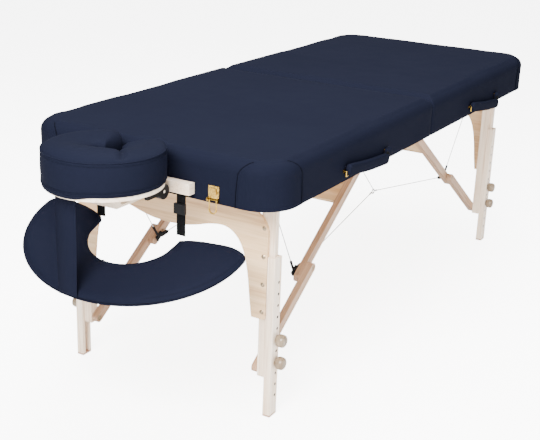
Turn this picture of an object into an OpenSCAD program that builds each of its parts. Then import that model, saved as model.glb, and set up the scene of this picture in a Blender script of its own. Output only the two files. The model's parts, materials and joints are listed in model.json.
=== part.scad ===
// Folding massage table with a clip-in face cradle, a hanging arm shelf and telescoping wooden legs.
// The head end, with the face cradle, is at -X. The floor is at z = 0.

/* [Table top] */
// Length of the open top
top_l = 1854; // [1700:1:1930]
// Width of the top
top_w = 762; // [740:1:840]
// Height of the top above the floor
top_h = 711; // [700:1:780]
// Corner radius of the top in plan
pad_r = 90; // [70:1:110]
// Thickness of the foam pad
pad_t = 55; // [45:1:70]
// Radius of the pad's rolled upper edge
pad_roll = 28; // [20:1:34]
// Slot between the two closed halves' covers
half_gap = 3; // [2:0.5:6]

/* [Frame] */
// Height of the frame boards
board_h = 53; // [50:1:60]
// Thickness of the frame boards
board_t = 18; // [15:1:22]
// Thickness of the deck panel
deck_t = 6; // [4:0.5:9]
// Thickness of the vinyl cover round the frame
skirt_t = 2; // [1:0.5:3]

/* [Legs] */
// Distance from the end of the top to the leg pivots
leg_inset = 129; // [120:1:140]
// Depth of a leg post along the table
post_d = 28; // [26:1:32]
// Width of a leg post across the table
post_w = 25.2; // [22:0.2:28]
// Distance from the side of the top to a post's outer face
post_edge = 79.8; // [76:0.2:85]
// Height of the lower end of the posts
post_z = 106; // [98:1:112]
// Width of the tongue that guides the leg extension
tongue_w = 16.8; // [14:0.2:18]
// How far the tongue stands out of the post
tongue_out = 13.8; // [10:0.2:15]
// Width of a leg extension across the table
ext_w = 21.5; // [19:0.1:24]
// Depth of a leg extension along the table
ext_d = 34; // [31:1:38]
// Height of the top of a leg extension
ext_top = 443; // [420:1:470]
// Distance between the height holes
hole_pitch = 31.75; // [28:0.25:34]
// Number of height holes in a leg extension
hole_n = 11; // [9:1:11]
// Height of the lower leg knob above the floor
knob_z = 152.5; // [145:0.5:158]
// Thickness of the rubber foot pad
foot_t = 5; // [3:0.5:8]
// Diameter of a leg knob
knob_d = 34; // [28:1:40]
// Length of a leg knob
knob_l = 26; // [20:1:30]

/* [Arch panel] */
// Thickness of the arch panel
panel_t = 9; // [7:0.5:12]
// How far the arch panel's sides lie inside the posts' outer faces
panel_edge = 1.2; // [0.2:0.2:6.2]
// Height of the arch panel from its feet to its upper edge
panel_h = 290; // [270:1:310]
// Gap between the arch panel's upper edge and the frame
panel_gap = 35; // [12:1:47]
// Radius of the panel's upper corners
panel_r = 62; // [50:1:75]
// Radius of the panel's lower corners
panel_toe_r = 9; // [6:0.5:14]

/* [Braces] */
// Depth of a brace
brace_d = 26; // [22:1:27]
// Thickness of a brace across the table
brace_w = 18; // [15:0.5:18]
// Height of the lower brace pivot above the floor
brace_foot_z = 122; // [119:1:130]
// Distance of the upper brace pivot from the centre hinge
brace_top_x = 60; // [50:1:80]
// How far an upper brace runs on past the elbow
brace_tail = 40; // [25:1:50]
// Width of the stretcher board between the upper braces
stretcher_w = 90; // [60:1:110]
// Thickness of the stretcher board
stretcher_t = 12; // [9:0.5:16]

/* [Face cradle] */
// Outer radius of the face cushion
cushion_r = 145; // [135:1:150]
// Radius of the cushion's face opening
face_hole_r = 46; // [40:1:60]
// Height of the face cushion
cushion_h = 80; // [60:1:90]
// Distance between the two cradle dowels
dowel_gap = 222; // [200:1:240]
// Diameter of a cradle dowel
dowel_d = 16; // [12:0.5:19]
// Thickness of the cradle platform
platform_t = 9.5; // [6:0.5:12]
// Half length of the cradle's rear cross bar
bar_half = 155; // [150:1:170]
// Height of the cradle's rear cross bar
bar_h = 28; // [24:1:32]

/* [Arm shelf] */
// Half width of the arm shelf
shelf_half = 317; // [290:1:340]
// Distance from the shelf's middle to its front edge
shelf_front = 230; // [210:1:250]
// Thickness of the arm shelf
shelf_t = 22; // [16:1:28]
// Width of the front strap
front_strap_w = 60; // [40:1:70]
// Width of a rear strap
rear_strap_w = 26; // [20:1:32]

/* [Hidden] */

// Curve fineness
fine = 48;
medium = 32;
coarse = 16;

// Shared clearances and overruns
over = 1;
soft_gap = 0.3;
slide_gap = 0.3;
run_gap = 0.08;
side_gap = 0.6;

// Colours
wood = "#e4d6c8";
wood_shade = "#d3c1b1";
vinyl = "#2a2f42";
brass = "#c9a44a";
steel = "#b9bcc0";
black = "#1b1b1d";
rubber = "#b98f74";
knob_wood = "#a59a8c";

// Heights of the top
half_l = top_l / 2;
half_w = top_w / 2;
pad_z = top_h - pad_t;
deck_z = pad_z - deck_t;
frame_z = deck_z - board_h;
frame_in = skirt_t + soft_gap;
frame_half = half_w - frame_in;
board_in = frame_half - board_t;
pad_crown = 2;
crown_n = 2;
roll_n = 5;
pad_mid_r = 7;

// Leg pivot
leg_x = half_l - leg_inset;
pivot_drop = 20;
pivot_z = deck_z - pivot_drop;
pivot_bolt_r = 4;
pivot_head_r = 9;
pivot_head_t = 4.5;
post_out = half_w - post_edge;
post_in = post_out - post_w;
tongue_edge = post_out + tongue_out;
cleat_gap = 3;
cleat_in = tongue_edge + cleat_gap;
cleat_half = 32;
cleat_t = board_in - cleat_in;
cleat_drop = 40;
washer_r = 12;

// Leg extension
ext_in = post_out + slide_gap;
ext_out = ext_in + ext_w;
groove_in = 10.4;
groove_w = tongue_w + slide_gap;
hole_r = 3.6;
stud_r = 3;
stud_tail = 22;
hole_z0 = knob_z - 3 * hole_pitch;
knob_rise = 2 * hole_pitch;
knob_gap = 0.3;
knob_r_shares = [0.62, 0.66, 0.92, 1.00, 1.00, 0.93, 0.74, 0.40];
knob_l_shares = [0.00, 0.12, 0.20, 0.34, 0.66, 0.84, 0.95, 1.00];

// Arch panel, as shares of its half width and of its height, from the foot of the arch to its middle
panel_half = post_out - panel_edge;
panel_z1 = frame_z - panel_gap;
panel_z0 = panel_z1 - panel_h;
panel_back = leg_x + post_d / 2;
panel_front = panel_back + panel_t;
panel_bolt_r = 2.6;
panel_head_r = 6;
panel_head_t = 2.6;
panel_bolt_pitch = 75;
panel_bolt_rise = 20;
panel_bolt_z0 = panel_z0 + panel_bolt_rise;
panel_bolt_n = 4;
arch_y_shares = [0.860, 0.838, 0.812, 0.765, 0.690, 0.580, 0.440, 0.300, 0.160, 0];
arch_z_shares = [0.000, 0.170, 0.400, 0.600, 0.725, 0.785, 0.775, 0.735, 0.705, 0.695];

// Brace linkage: straight when open, folded flat on itself under the deck
brace_drop = pivot_z - brace_foot_z;
brace_run = leg_x - brace_top_x;
brace_span = sqrt(pow(brace_run, 2) + pow(brace_drop, 2));
brace_folded = brace_run - brace_drop;
upper_l = (brace_span + brace_folded) / 2;
lower_l = (brace_span - brace_folded) / 2;
brace_angle = atan2(brace_drop, brace_run);
elbow_x = leg_x - lower_l * cos(brace_angle);
elbow_z = brace_foot_z + lower_l * sin(brace_angle);
lower_out = post_in - side_gap;
lower_in = lower_out - brace_w;
upper_out = lower_in - side_gap;
upper_in = upper_out - brace_w;
hanger_out = upper_in - side_gap;
hanger_w = 24;
hanger_half = 20;
brace_bolt_r = 3.5;
brace_head_r = 7.5;
brace_head_t = 3;
counter_t = 5;
lower_head = lower_in + counter_t - run_gap;
stretcher_far = 330;
clip_l = 34;
clip_w = 14;
clip_t = 10;

// Centre hinge
hinge_drop = 5;
hinge_z = frame_z - hinge_drop;
knuckle_r = 4.5;
hinge_pin_r = 2;
hinge_pin_gap = 0.06;
leaf_t = 1.8;
leaf_far = 17;
leaf_near = 5.2;
knuckle_n = 15;
hinge_in = 36;
knuckle_l = (top_w - 2 * hinge_in) / knuckle_n;
knuckle_gap = 0.5;
hinge_l = knuckle_n * knuckle_l;

// Carry handles
handle_x = 455;
handle_l = 250;
ring_bar_r = 2;
ring_w = 20;
ring_h = 12;
ring_off = 9;
ring_y = half_w + ring_off;
ring_rise = 16;
ring_z = frame_z + ring_rise;
ring_plate_t = 1.6;
grip_l = 214;
grip_h = 30;
grip_t = 15;
grip_r = 8;
loop_w = 14;
loop_t = 3;

// Latches
latch_y = 209;
latch_w = 30;
latch_h = 34;
latch_t = 2;
latch_rise = 8;
latch_z = frame_z + latch_rise;
ear_t = 4;
ear_gap = 2;
catch_t = 2;
latch_bar_r = 1.6;
latch_off = 5;
loop_half = 10;
loop_drop = 24;

// Cradle sockets and base
dowel_y = dowel_gap / 2;
dowel_z = frame_z + board_h / 2;
dowel_in = 88;
socket_gap = 0.1;
socket_l = 40;
socket_half = 20;
bar_gap = 3;
bar_d = 22;
bar_x = half_l + bar_gap;
bar_z = dowel_z - bar_h / 2;
arm_y = 54;
arm_w = 20;
arm_h = 20;
arm_reach = 185;
arm_end = half_l + arm_reach;
slot_l = 90;
slot_h = 8;
tilt_out = 48;
tilt_x = half_l + tilt_out;
tilt_r = 4;
tilt_drop = 8;
tilt_z = bar_z + bar_h / 2 - tilt_drop;
arm_drop = 4;
arm_z = tilt_z - arm_drop;
cheek_w = 14;
cheek_r = 14;
cheek_half = 20;
cheek_in = arm_y + arm_w / 2 + side_gap;
cheek_out = cheek_in + cheek_w;
cam_r = 19;
cam_l = 20;
lever_l = 44;
lever_w = 12;
lever_t = 7;

// Platform and cushion
cushion_gap = 4;
cushion_x = half_l + cushion_r + cushion_gap;
platform_rise = 5;
platform_z = bar_z + bar_h + platform_rise;
platform_in = 4;
platform_r = cushion_r - platform_in;
platform_rim = 14;
platform_hole = face_hole_r + platform_rim;
platform_mouth = 56;
cushion_z = platform_z + platform_t + soft_gap;
cushion_mouth_deg = 17;
cushion_n = 30;
ring_n = 12;
round_shares = [0.30, 0.62, 0.84, 0.96];

// Arm shelf
shelf_out = 27;
shelf_x = half_l + shelf_out;
shelf_drop = 115;
shelf_z = frame_z - shelf_drop;
shelf_slope = 0.4;
shelf_in_front = 112;
shelf_in_half = 128;
shelf_reach_deg = 97;
shelf_n = 30;
shelf_cap_deg = 7;
front_strap_y = 25;
front_strap_t = 2.5;
rear_strap_t = 2;
rear_strap_y = 124;
buckle_w = 32;
buckle_h = 26;
buckle_t = 8;
buckle_drop = 41;
buckle_z = frame_z - buckle_drop;

// Cables
cable_r = 1.5;
cable_ring_r = 7;
cable_ring_t = 1.8;
cable_in = 29;
cable_y = post_in - cable_in;
cable_ring_in = 95;
cable_ring_y = panel_half - cable_ring_in;
cable_ring_rise = 111;
cable_ring_z = panel_z0 + cable_ring_rise;
cable_top_in = 28;
cable_top_x = leg_x - cable_top_in;
cable_top_share = 0.3;

// The whole stands with the middle of its outline on the origin
platform_front = cushion_x + cushion_r;
strike_out = 4;
handle_out = ring_y - half_w + grip_t / 2;
shift_x = (platform_front - half_l - strike_out) / 2;
shift_y = handle_out / 2;

// Helpers

// Puts a part of the table into the object's frame
module place() {
    translate([shift_x, shift_y, 0]) children();
}

// Shows a head-end part at the head or, mirrored, at the foot
module at_end(foot) {
    mirror([foot ? 1 : 0, 0, 0]) children();
}

// One copy on each side of the table
module both_sides() {
    for (side = [0, 1]) mirror([0, side, 0]) children();
}

// A cylinder along Y between two distances from the middle
module rod_y(r, y0, y1) {
    translate([0, y0, 0]) rotate([-90, 0, 0]) cylinder(h = y1 - y0, r = r, $fn = fine);
}

// Plan of the head half, drawn in by a distance all round
module half_plan(inset) {
    r = pad_r - inset;
    end_x = -half_l + inset;
    side_y = half_w - inset;
    mid_x = -half_gap / 2 - inset;
    translate([end_x + r, -side_y]) square([mid_x - end_x - r, 2 * side_y]);
    translate([end_x, r - side_y]) square([2 * r, 2 * (side_y - r)]);
    for (side = [-1, 1]) translate([end_x + r, side * (side_y - r)]) circle(r = r, $fn = fine);
}

// Outline of the head half as points, for the padded forms
function corner(cx, cy, r, a0, n) = [for (i = [0 : n])
    [cx + r * cos(a0 + 90 * i / n), cy + r * sin(a0 + 90 * i / n)]];
function half_points(inset, mid_r) = let(
    r = max(pad_r - inset, pad_r / 5), m = max(mid_r - inset / 2, mid_r / 4),
    x0 = -half_l + inset, x1 = -half_gap / 2 - inset, y = half_w - inset)
    concat(corner(x1 - m, y - m, m, 0, 3), corner(x0 + r, y - r, r, 90, 8),
        corner(x0 + r, r - y, r, 180, 8), corner(x1 - m, m - y, m, 270, 3));

// A closed solid through rings of the same number of points, with a flat first and last ring
module ring_solid(rings) {
    n = len(rings[0]);
    m = len(rings);
    polyhedron(points = [for (ring = rings) for (p = ring) p],
        faces = concat([[for (i = [0 : n - 1]) i]],
            [for (k = [0 : m - 2]) for (i = [0 : n - 1]) let(j = (i + 1) % n)
                [k * n + i, (k + 1) * n + i, (k + 1) * n + j]],
            [for (k = [0 : m - 2]) for (i = [0 : n - 1]) let(j = (i + 1) % n)
                [k * n + i, (k + 1) * n + j, k * n + j]],
            [[for (i = [n - 1 : -1 : 0]) (m - 1) * n + i]]));
}

// Smooth curve through hand-chosen points
function spline_point(a, b, c, d, t) = (2 * b + (c - a) * t + (2 * a - 5 * b + 4 * c - d) * t * t
    + (3 * b - a - 3 * c + d) * t * t * t) / 2;
function spline(pts, n) = concat([for (i = [0 : len(pts) - 2]) for (k = [0 : n - 1])
    spline_point(pts[max(i - 1, 0)], pts[i], pts[i + 1], pts[min(i + 2, len(pts) - 1)], k / n)],
    [pts[len(pts) - 1]]);

// Frame, deck and cover

module leg_cleat() {
    translate([-leg_x - cleat_half, cleat_in, deck_z - cleat_drop])
        cube([2 * cleat_half, cleat_t, cleat_drop]);
}

module brace_hanger() {
    translate([-brace_top_x - hanger_half, hanger_out - hanger_w, pivot_z])
        cube([2 * hanger_half, hanger_w, pivot_drop]);
    translate([-brace_top_x, 0, pivot_z]) rod_y(hanger_half, hanger_out - hanger_w, hanger_out);
}

module socket_block() {
    translate([-half_l + frame_in + board_t - over, dowel_y - socket_half, frame_z])
        cube([socket_l + over, 2 * socket_half, board_h]);
}

module socket_bore() {
    translate([-half_l - over, dowel_y, dowel_z]) rotate([0, 90, 0])
        cylinder(h = frame_in + board_t + socket_l + 2 * over, r = dowel_d / 2 + socket_gap, $fn = fine);
}

module frame(foot) {
    color(wood) place() at_end(foot) difference() {
        union() {
            translate([0, 0, frame_z]) linear_extrude(board_h) difference() {
                half_plan(frame_in);
                half_plan(frame_in + board_t);
            }
            both_sides() {
                leg_cleat();
                brace_hanger();
                socket_block();
            }
        }
        both_sides() {
            socket_bore();
            translate([-leg_x, 0, pivot_z]) rod_y(pivot_bolt_r, cleat_in - over, board_in - board_t / 2);
            translate([-brace_top_x, 0, pivot_z])
                rod_y(brace_bolt_r, hanger_out - hanger_w - over, hanger_out + over);
        }
    }
}

module deck(foot) {
    color(wood_shade) place() at_end(foot)
        translate([0, 0, deck_z]) linear_extrude(deck_t) half_plan(frame_in);
}

// Foam pad: upright sides, a rolled edge and a low crown
module pad(foot) {
    rings = concat(
        [[for (p = half_points(0, pad_mid_r)) [p[0], p[1], pad_z + soft_gap]]],
        [for (k = [0 : roll_n]) let(a = 90 * k / roll_n, inset = pad_roll * (1 - cos(a)))
            [for (p = half_points(inset, pad_mid_r))
                [p[0], p[1], top_h - pad_crown - pad_roll * (1 - sin(a))]]],
        [for (k = [1 : crown_n]) [for (p = half_points(pad_roll + k * pad_r, pad_mid_r))
            [p[0], p[1], top_h - pad_crown + pad_crown * k / crown_n]]]);
    color(vinyl) place() at_end(foot) ring_solid(rings);
}

module skirt(foot) {
    color(vinyl) place() at_end(foot) difference() {
        translate([0, 0, frame_z]) linear_extrude(board_h + deck_t) difference() {
            half_plan(0);
            half_plan(skirt_t);
        }
        both_sides() socket_bore();
    }
}

// Centre hinge

module hinge_leaf(foot) {
    first = foot ? 1 : 0;
    color(brass) place() at_end(foot) difference() {
        union() {
            translate([-leaf_far, -hinge_l / 2, frame_z - leaf_t])
                cube([leaf_far - leaf_near, hinge_l, leaf_t]);
            for (i = [first : 2 : knuckle_n - 1])
                translate([0, -hinge_l / 2 + i * knuckle_l + knuckle_gap / 2, 0]) {
                    translate([0, 0, hinge_z]) rod_y(knuckle_r, 0, knuckle_l - knuckle_gap);
                    translate([-leaf_near - over, 0, frame_z - leaf_t])
                        cube([leaf_near + over - knuckle_r / 3, knuckle_l - knuckle_gap, leaf_t]);
                }
        }
        translate([0, 0, hinge_z])
            rod_y(hinge_pin_r + hinge_pin_gap, -hinge_l / 2 - over, hinge_l / 2 + over);
    }
}

module centre_hinge_pin() {
    color(steel) place() translate([0, 0, hinge_z]) rod_y(hinge_pin_r, -hinge_l / 2, hinge_l / 2);
}

// Bolts that carry the legs and the upper braces

module pivot_bolt() {
    translate([-leg_x, 0, pivot_z]) {
        rod_y(pivot_bolt_r, post_in - over, board_in - board_t / 2);
        rod_y(pivot_head_r, post_in - over / 2 - pivot_head_t, post_in - over / 2);
        difference() {
            rod_y(washer_r, tongue_edge + run_gap, cleat_in);
            rod_y(pivot_bolt_r - over, 0, cleat_in + over);
        }
    }
}

module hanger_bolt() {
    translate([-brace_top_x, 0, pivot_z]) {
        rod_y(brace_bolt_r, hanger_out - hanger_w, upper_out + side_gap);
        rod_y(brace_head_r, upper_out + side_gap / 2, upper_out + side_gap / 2 + brace_head_t);
        rod_y(brace_head_r, hanger_out - hanger_w - brace_head_t, hanger_out - hanger_w);
    }
}

module pivot_bolts(foot) {
    color(brass) place() at_end(foot) both_sides() {
        pivot_bolt();
        hanger_bolt();
    }
}

// Carry handles on the right-hand side

module ring_frame() {
    bar_half = ring_w / 2;
    for (side = [-1, 1]) translate([side * bar_half, -ring_y, ring_z]) {
        cylinder(h = ring_h, r = ring_bar_r, $fn = coarse);
        sphere(r = ring_bar_r, $fn = coarse);
        translate([0, 0, ring_h]) rotate([-90, 0, 0])
            cylinder(h = ring_y - half_w, r = ring_bar_r, $fn = coarse);
        translate([0, 0, ring_h]) sphere(r = ring_bar_r, $fn = coarse);
    }
    translate([-bar_half, -ring_y, ring_z]) rotate([0, 90, 0])
        cylinder(h = ring_w, r = ring_bar_r, $fn = fine);
    translate([-bar_half - ring_bar_r, -half_w - ring_plate_t, ring_z + ring_h / 2])
        cube([ring_w + 2 * ring_bar_r, ring_plate_t, ring_h * 0.8]);
}

module handle_rings(foot) {
    color(brass) place() at_end(foot)
        for (side = [-1, 1]) translate([side * handle_l / 2 - handle_x, 0, 0]) ring_frame();
}

module handle(foot) {
    color(vinyl) place() at_end(foot) translate([-handle_x, -ring_y, ring_z]) difference() {
        union() {
            for (side = [-1, 1]) translate([side * handle_l / 2 - loop_w / 2, 0, 0]) {
                rotate([0, 90, 0]) cylinder(h = loop_w, r = ring_bar_r + soft_gap + loop_t, $fn = fine);
                translate([0, -loop_t, -grip_h]) cube([loop_w, 2 * loop_t, grip_h]);
            }
            translate([0, grip_t / 2, -grip_h + grip_r / 2]) rotate([90, 0, 0]) linear_extrude(grip_t) {
                translate([-grip_l / 2 + grip_r, -grip_r]) square([grip_l - 2 * grip_r, grip_h - grip_r]);
                translate([-grip_l / 2, 0]) square([grip_l, grip_h - 3 * grip_r]);
                for (sx = [-1, 1]) for (sz = [0, grip_h - 3 * grip_r])
                    translate([sx * (grip_l / 2 - grip_r), sz]) circle(r = grip_r, $fn = medium);
            }
            translate([-handle_l / 2, -loop_t, -grip_h]) cube([handle_l, 2 * loop_t, grip_h / 2]);
        }
        for (side = [-1, 1]) translate([side * handle_l / 2 - loop_w, 0, 0]) rotate([0, 90, 0])
            cylinder(h = 2 * loop_w, r = ring_bar_r + soft_gap, $fn = fine);
    }
}

// Latches on the head end and their strikes on the foot end

module latch_bases() {
    color(brass) place() both_sides() translate([-half_l, latch_y, 0]) {
        translate([-latch_t, -latch_w / 2, latch_z]) cube([latch_t, latch_w, latch_h]);
        for (side = [0, 1]) mirror([0, side, 0])
            translate([-latch_off, loop_half + ear_gap, latch_z]) difference() {
                union() {
                    translate([0, 0, -latch_off]) cube([latch_off, ear_t, 2 * latch_off]);
                    rod_y(latch_off, 0, ear_t);
                }
                rod_y(latch_bar_r + run_gap, -over, ear_t + over);
            }
        translate([-latch_t - catch_t, -latch_w / 4, latch_z + latch_h / 3])
            cube([catch_t + over, latch_w / 2, latch_h / 2]);
    }
}

module latch_loops() {
    bar_half = loop_half + ear_gap + ear_t;
    color(brass) place() both_sides() translate([-half_l - latch_off, latch_y, latch_z]) {
        rod_y(latch_bar_r, -bar_half, bar_half);
        for (side = [-1, 1]) translate([0, side * loop_half, -loop_drop])
            cylinder(h = loop_drop, r = latch_bar_r, $fn = coarse);
        translate([0, 0, -loop_drop]) rotate([90, 0, 90]) translate([0, 0, -latch_bar_r])
            linear_extrude(2 * latch_bar_r) difference() {
                circle(r = loop_half + latch_bar_r, $fn = medium);
                circle(r = loop_half - latch_bar_r, $fn = medium);
                translate([-2 * loop_half, 0]) square([4 * loop_half, 2 * loop_half]);
            }
    }
}

module latch_strikes() {
    color(brass) place() both_sides() translate([half_l, latch_y, 0]) {
        translate([0, -latch_w / 2, latch_z]) cube([latch_t, latch_w, latch_h]);
        translate([0, -latch_w / 4, latch_z + latch_h / 3]) cube([strike_out, latch_w / 2, latch_h / 6]);
    }
}

// Legs

module post_body() {
    translate([-leg_x - post_d / 2, post_in, post_z]) cube([post_d, post_w, pivot_z - post_z]);
    translate([-leg_x, 0, pivot_z]) rod_y(post_d / 2, post_in, tongue_edge);
    translate([-panel_front + groove_in + slide_gap / 2, post_out - over, post_z])
        cube([tongue_w, tongue_out + over, pivot_z - post_z]);
}

module leg_posts(foot) {
    color(wood) place() at_end(foot) both_sides() difference() {
        post_body();
        translate([-leg_x, 0, pivot_z]) rod_y(pivot_bolt_r + run_gap, post_in - over, tongue_edge + over);
        translate([-leg_x, 0, brace_foot_z]) rod_y(brace_bolt_r, post_in - over, post_out - over);
        for (k = [0, 1]) translate([-leg_x, 0, knob_z + k * knob_rise])
            rod_y(stud_r + run_gap, post_out - stud_tail - over, tongue_edge + over);
        for (i = [0 : panel_bolt_n - 1]) panel_bolt_bore(i);
    }
}

module panel_bolt_bore(i) {
    translate([-panel_back - panel_t - over, post_out - post_w / 2, panel_bolt_z0 + i * panel_bolt_pitch])
        rotate([0, 90, 0]) cylinder(h = panel_t + post_d / 2 + over, r = panel_bolt_r, $fn = medium);
}

// The scalloped panel between the two posts of one end
function arch_points(s) = [for (i = [0 : len(arch_y_shares) - 1])
    [s * arch_y_shares[i] * panel_half, panel_z0 + arch_z_shares[i] * (panel_z1 - panel_z0)]];

module arch_cut() {
    half = spline(arch_points(1), 4);
    far = len(half) - 1;
    polygon(concat([[panel_half * arch_y_shares[0], panel_z0 - over]], half,
        [for (i = [far - 1 : -1 : 0]) [-half[i][0], half[i][1]]],
        [[-panel_half * arch_y_shares[0], panel_z0 - over]]));
}

module panel_plan() {
    difference() {
        union() {
            translate([-panel_half, panel_z0 + panel_toe_r])
                square([2 * panel_half, panel_z1 - panel_r - panel_z0 - panel_toe_r]);
            translate([-panel_half + panel_r, panel_z1 - 2 * panel_r])
                square([2 * (panel_half - panel_r), 2 * panel_r]);
            for (s = [-1, 1]) {
                translate([s * (panel_half - panel_r), panel_z1 - panel_r]) circle(r = panel_r, $fn = fine);
                translate([s * (panel_half - panel_toe_r), panel_z0 + panel_toe_r])
                    circle(r = panel_toe_r, $fn = medium);
            }
            translate([-panel_half + panel_toe_r, panel_z0])
                square([2 * (panel_half - panel_toe_r), 2 * panel_toe_r]);
        }
        arch_cut();
    }
}

module arch_panel(foot) {
    color(wood) place() at_end(foot) difference() {
        translate([-panel_back - panel_t, 0, 0]) rotate([90, 0, 90]) linear_extrude(panel_t) panel_plan();
        both_sides() for (i = [0 : panel_bolt_n - 1]) panel_bolt_bore(i);
    }
}

module domed_bolt(head_r, head_t, shank_r, shank_l) {
    rotate_extrude($fn = medium) {
        square([shank_r, shank_l]);
        intersection() {
            translate([0, -head_t]) square([head_r, head_t]);
            translate([0, (pow(head_r, 2) - pow(head_t, 2)) / (2 * head_t)])
                circle(r = (pow(head_r, 2) + pow(head_t, 2)) / (2 * head_t), $fn = 2 * fine);
        }
    }
}

module leg_bolts(foot) {
    color(brass) place() at_end(foot) both_sides() {
        for (i = [0 : panel_bolt_n - 1])
            translate([-panel_back - panel_t, post_out - post_w / 2, panel_bolt_z0 + i * panel_bolt_pitch])
                rotate([0, 90, 0])
                    domed_bolt(panel_head_r, panel_head_t, panel_bolt_r, panel_t + post_d / 2 - over);
        translate([-leg_x, 0, brace_foot_z]) {
            rod_y(brace_bolt_r, lower_head - brace_head_t, post_out - over - run_gap);
            rod_y(brace_head_r, lower_head - brace_head_t, lower_head);
        }
    }
}

// Leg extension: a channel that slides on the post's tongue, with a row of height holes
module extension(foot, left) {
    color(wood) place() at_end(foot) mirror([0, left ? 0 : 1, 0])
        translate([-panel_front, 0, 0]) difference() {
            translate([0, ext_in, foot_t]) cube([ext_d, ext_w, ext_top - foot_t]);
            translate([groove_in, ext_in - over, foot_t - over])
                cube([groove_w, tongue_out + over, ext_top]);
            for (i = [0 : hole_n - 1])
                translate([panel_front - leg_x, 0, hole_z0 + i * hole_pitch])
                    rod_y(hole_r, ext_in - over, ext_out + over);
        }
}

module rubber_foot(foot, left) {
    color(rubber) place() at_end(foot) mirror([0, left ? 0 : 1, 0])
        translate([-panel_front, ext_in, 0]) cube([ext_d, ext_w, foot_t]);
}

// Turned leg knob on its stud
module knob(foot, left, upper) {
    r = knob_d / 2;
    color(knob_wood) place() at_end(foot) mirror([0, left ? 0 : 1, 0])
        translate([-leg_x, 0, knob_z + (upper ? knob_rise : 0)]) {
            rod_y(stud_r, post_out - stud_tail, ext_out + knob_gap + over);
            translate([0, ext_out + knob_gap, 0]) rotate([-90, 0, 0]) rotate_extrude($fn = fine)
                polygon(concat([[0, 0]], [for (i = [0 : len(knob_r_shares) - 1])
                    [r * knob_r_shares[i], knob_l * knob_l_shares[i]]], [[0, knob_l]]));
        }
}

// Braces

// A brace along +X from its pivot, with round ends
module brace_bar(l, y0, w, tail) {
    translate([0, y0, -brace_d / 2]) cube([l + tail, w, brace_d]);
    rod_y(brace_d / 2, y0, y0 + w);
    translate([l + tail, 0, 0]) rod_y(brace_d / 2, y0, y0 + w);
}

module lower_braces(foot) {
    color(wood) place() at_end(foot) both_sides()
        translate([-leg_x, 0, brace_foot_z]) rotate([0, -brace_angle, 0]) difference() {
            brace_bar(lower_l, lower_in, brace_w, 0);
            rod_y(brace_bolt_r + run_gap, lower_in - over, lower_out + over);
            rod_y(brace_head_r + side_gap, lower_in - over, lower_in + counter_t);
            translate([lower_l, 0, 0]) {
                rod_y(brace_bolt_r, lower_in - over, lower_out + over);
                rod_y(brace_head_r, lower_out - counter_t, lower_out + over);
            }
        }
}

// Elbow bolt: the half that stays in the lower brace, its head sunk in a counterbore
module elbow_bolts(foot) {
    color(black) place() at_end(foot) both_sides()
        translate([-elbow_x, 0, elbow_z]) {
            rod_y(brace_bolt_r, lower_in, lower_out - counter_t);
            rod_y(brace_head_r, lower_out - counter_t, lower_out - counter_t / 4);
        }
}

module upper_braces(foot) {
    color(wood) place() at_end(foot) both_sides()
        translate([-brace_top_x, 0, pivot_z]) rotate([0, 180 - brace_angle, 0]) difference() {
            brace_bar(upper_l, upper_in, brace_w, brace_tail);
            rod_y(brace_bolt_r + run_gap, upper_in - over, upper_out + over);
            translate([upper_l, 0, 0]) rod_y(brace_bolt_r, upper_in - over, upper_out + over);
        }
}

module brace_stretcher(foot) {
    color(wood) place() at_end(foot)
        translate([-brace_top_x, 0, pivot_z]) rotate([0, 180 - brace_angle, 0])
            translate([stretcher_far - stretcher_w, -upper_in, -stretcher_t / 2])
                cube([stretcher_w, 2 * upper_in, stretcher_t]);
}

// Plastic clip on the inside of each elbow, held by the elbow's barrel nut
module cable_clips(foot) {
    color(black) place() at_end(foot) both_sides()
        translate([-brace_top_x, 0, pivot_z]) rotate([0, 180 - brace_angle, 0])
            translate([upper_l, 0, 0]) {
                rod_y(brace_bolt_r, upper_in - clip_t / 2, upper_out);
                translate([-clip_w / 2, upper_in - clip_t, -clip_w / 2])
                    cube([brace_tail + clip_l, clip_t, clip_w]);
                translate([brace_tail + clip_l - clip_w / 2, 0, 0])
                    rod_y(clip_w / 2, upper_in - clip_t, upper_in);
            }
}

// Steel restraint cables: from the leg tops to the elbow clips, to the middle rings and up

function clip_point(side) = [
    -brace_top_x - (upper_l + brace_tail + clip_l) * cos(brace_angle),
    side * (upper_in - clip_t / 2),
    pivot_z - (upper_l + brace_tail + clip_l) * sin(brace_angle)];

// A straight stretch of cable from one point to another
module cable(a, b) {
    v = b - a;
    l = norm(v);
    translate(a) rotate([0, acos(v[2] / l), atan2(v[1], v[0])]) cylinder(h = l, r = cable_r, $fn = coarse);
}

module side_cables(side) {
    tip = clip_point(side);
    along = [cos(brace_angle), 0, sin(brace_angle)];
    across = [-sin(brace_angle), 0, cos(brace_angle)];
    seat = cable_r + soft_gap;
    ring = [0, side * cable_ring_y, cable_ring_z];
    cable([-cable_top_x, side * cable_y, deck_z - cable_r], tip - along * seat);
    cable(tip + along * clip_w / 2 - across * (clip_w / 2 + seat), ring - [cable_ring_r, 0, 0]);
}

module restraint_cables() {
    color(steel) place() for (side = [-1, 1]) {
        for (foot = [0, 1]) at_end(foot == 1) side_cables(side);
        translate([0, side * cable_ring_y, cable_ring_z]) rotate([90, 0, 0]) rotate_extrude($fn = medium)
            translate([cable_ring_r, 0]) circle(r = cable_ring_t, $fn = coarse);
        cable([0, side * cable_ring_y, cable_ring_z + cable_ring_r],
            [-half_gap - board_t, side * cable_ring_y * cable_top_share, frame_z - cable_r]);
    }
}

// Face cradle

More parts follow.
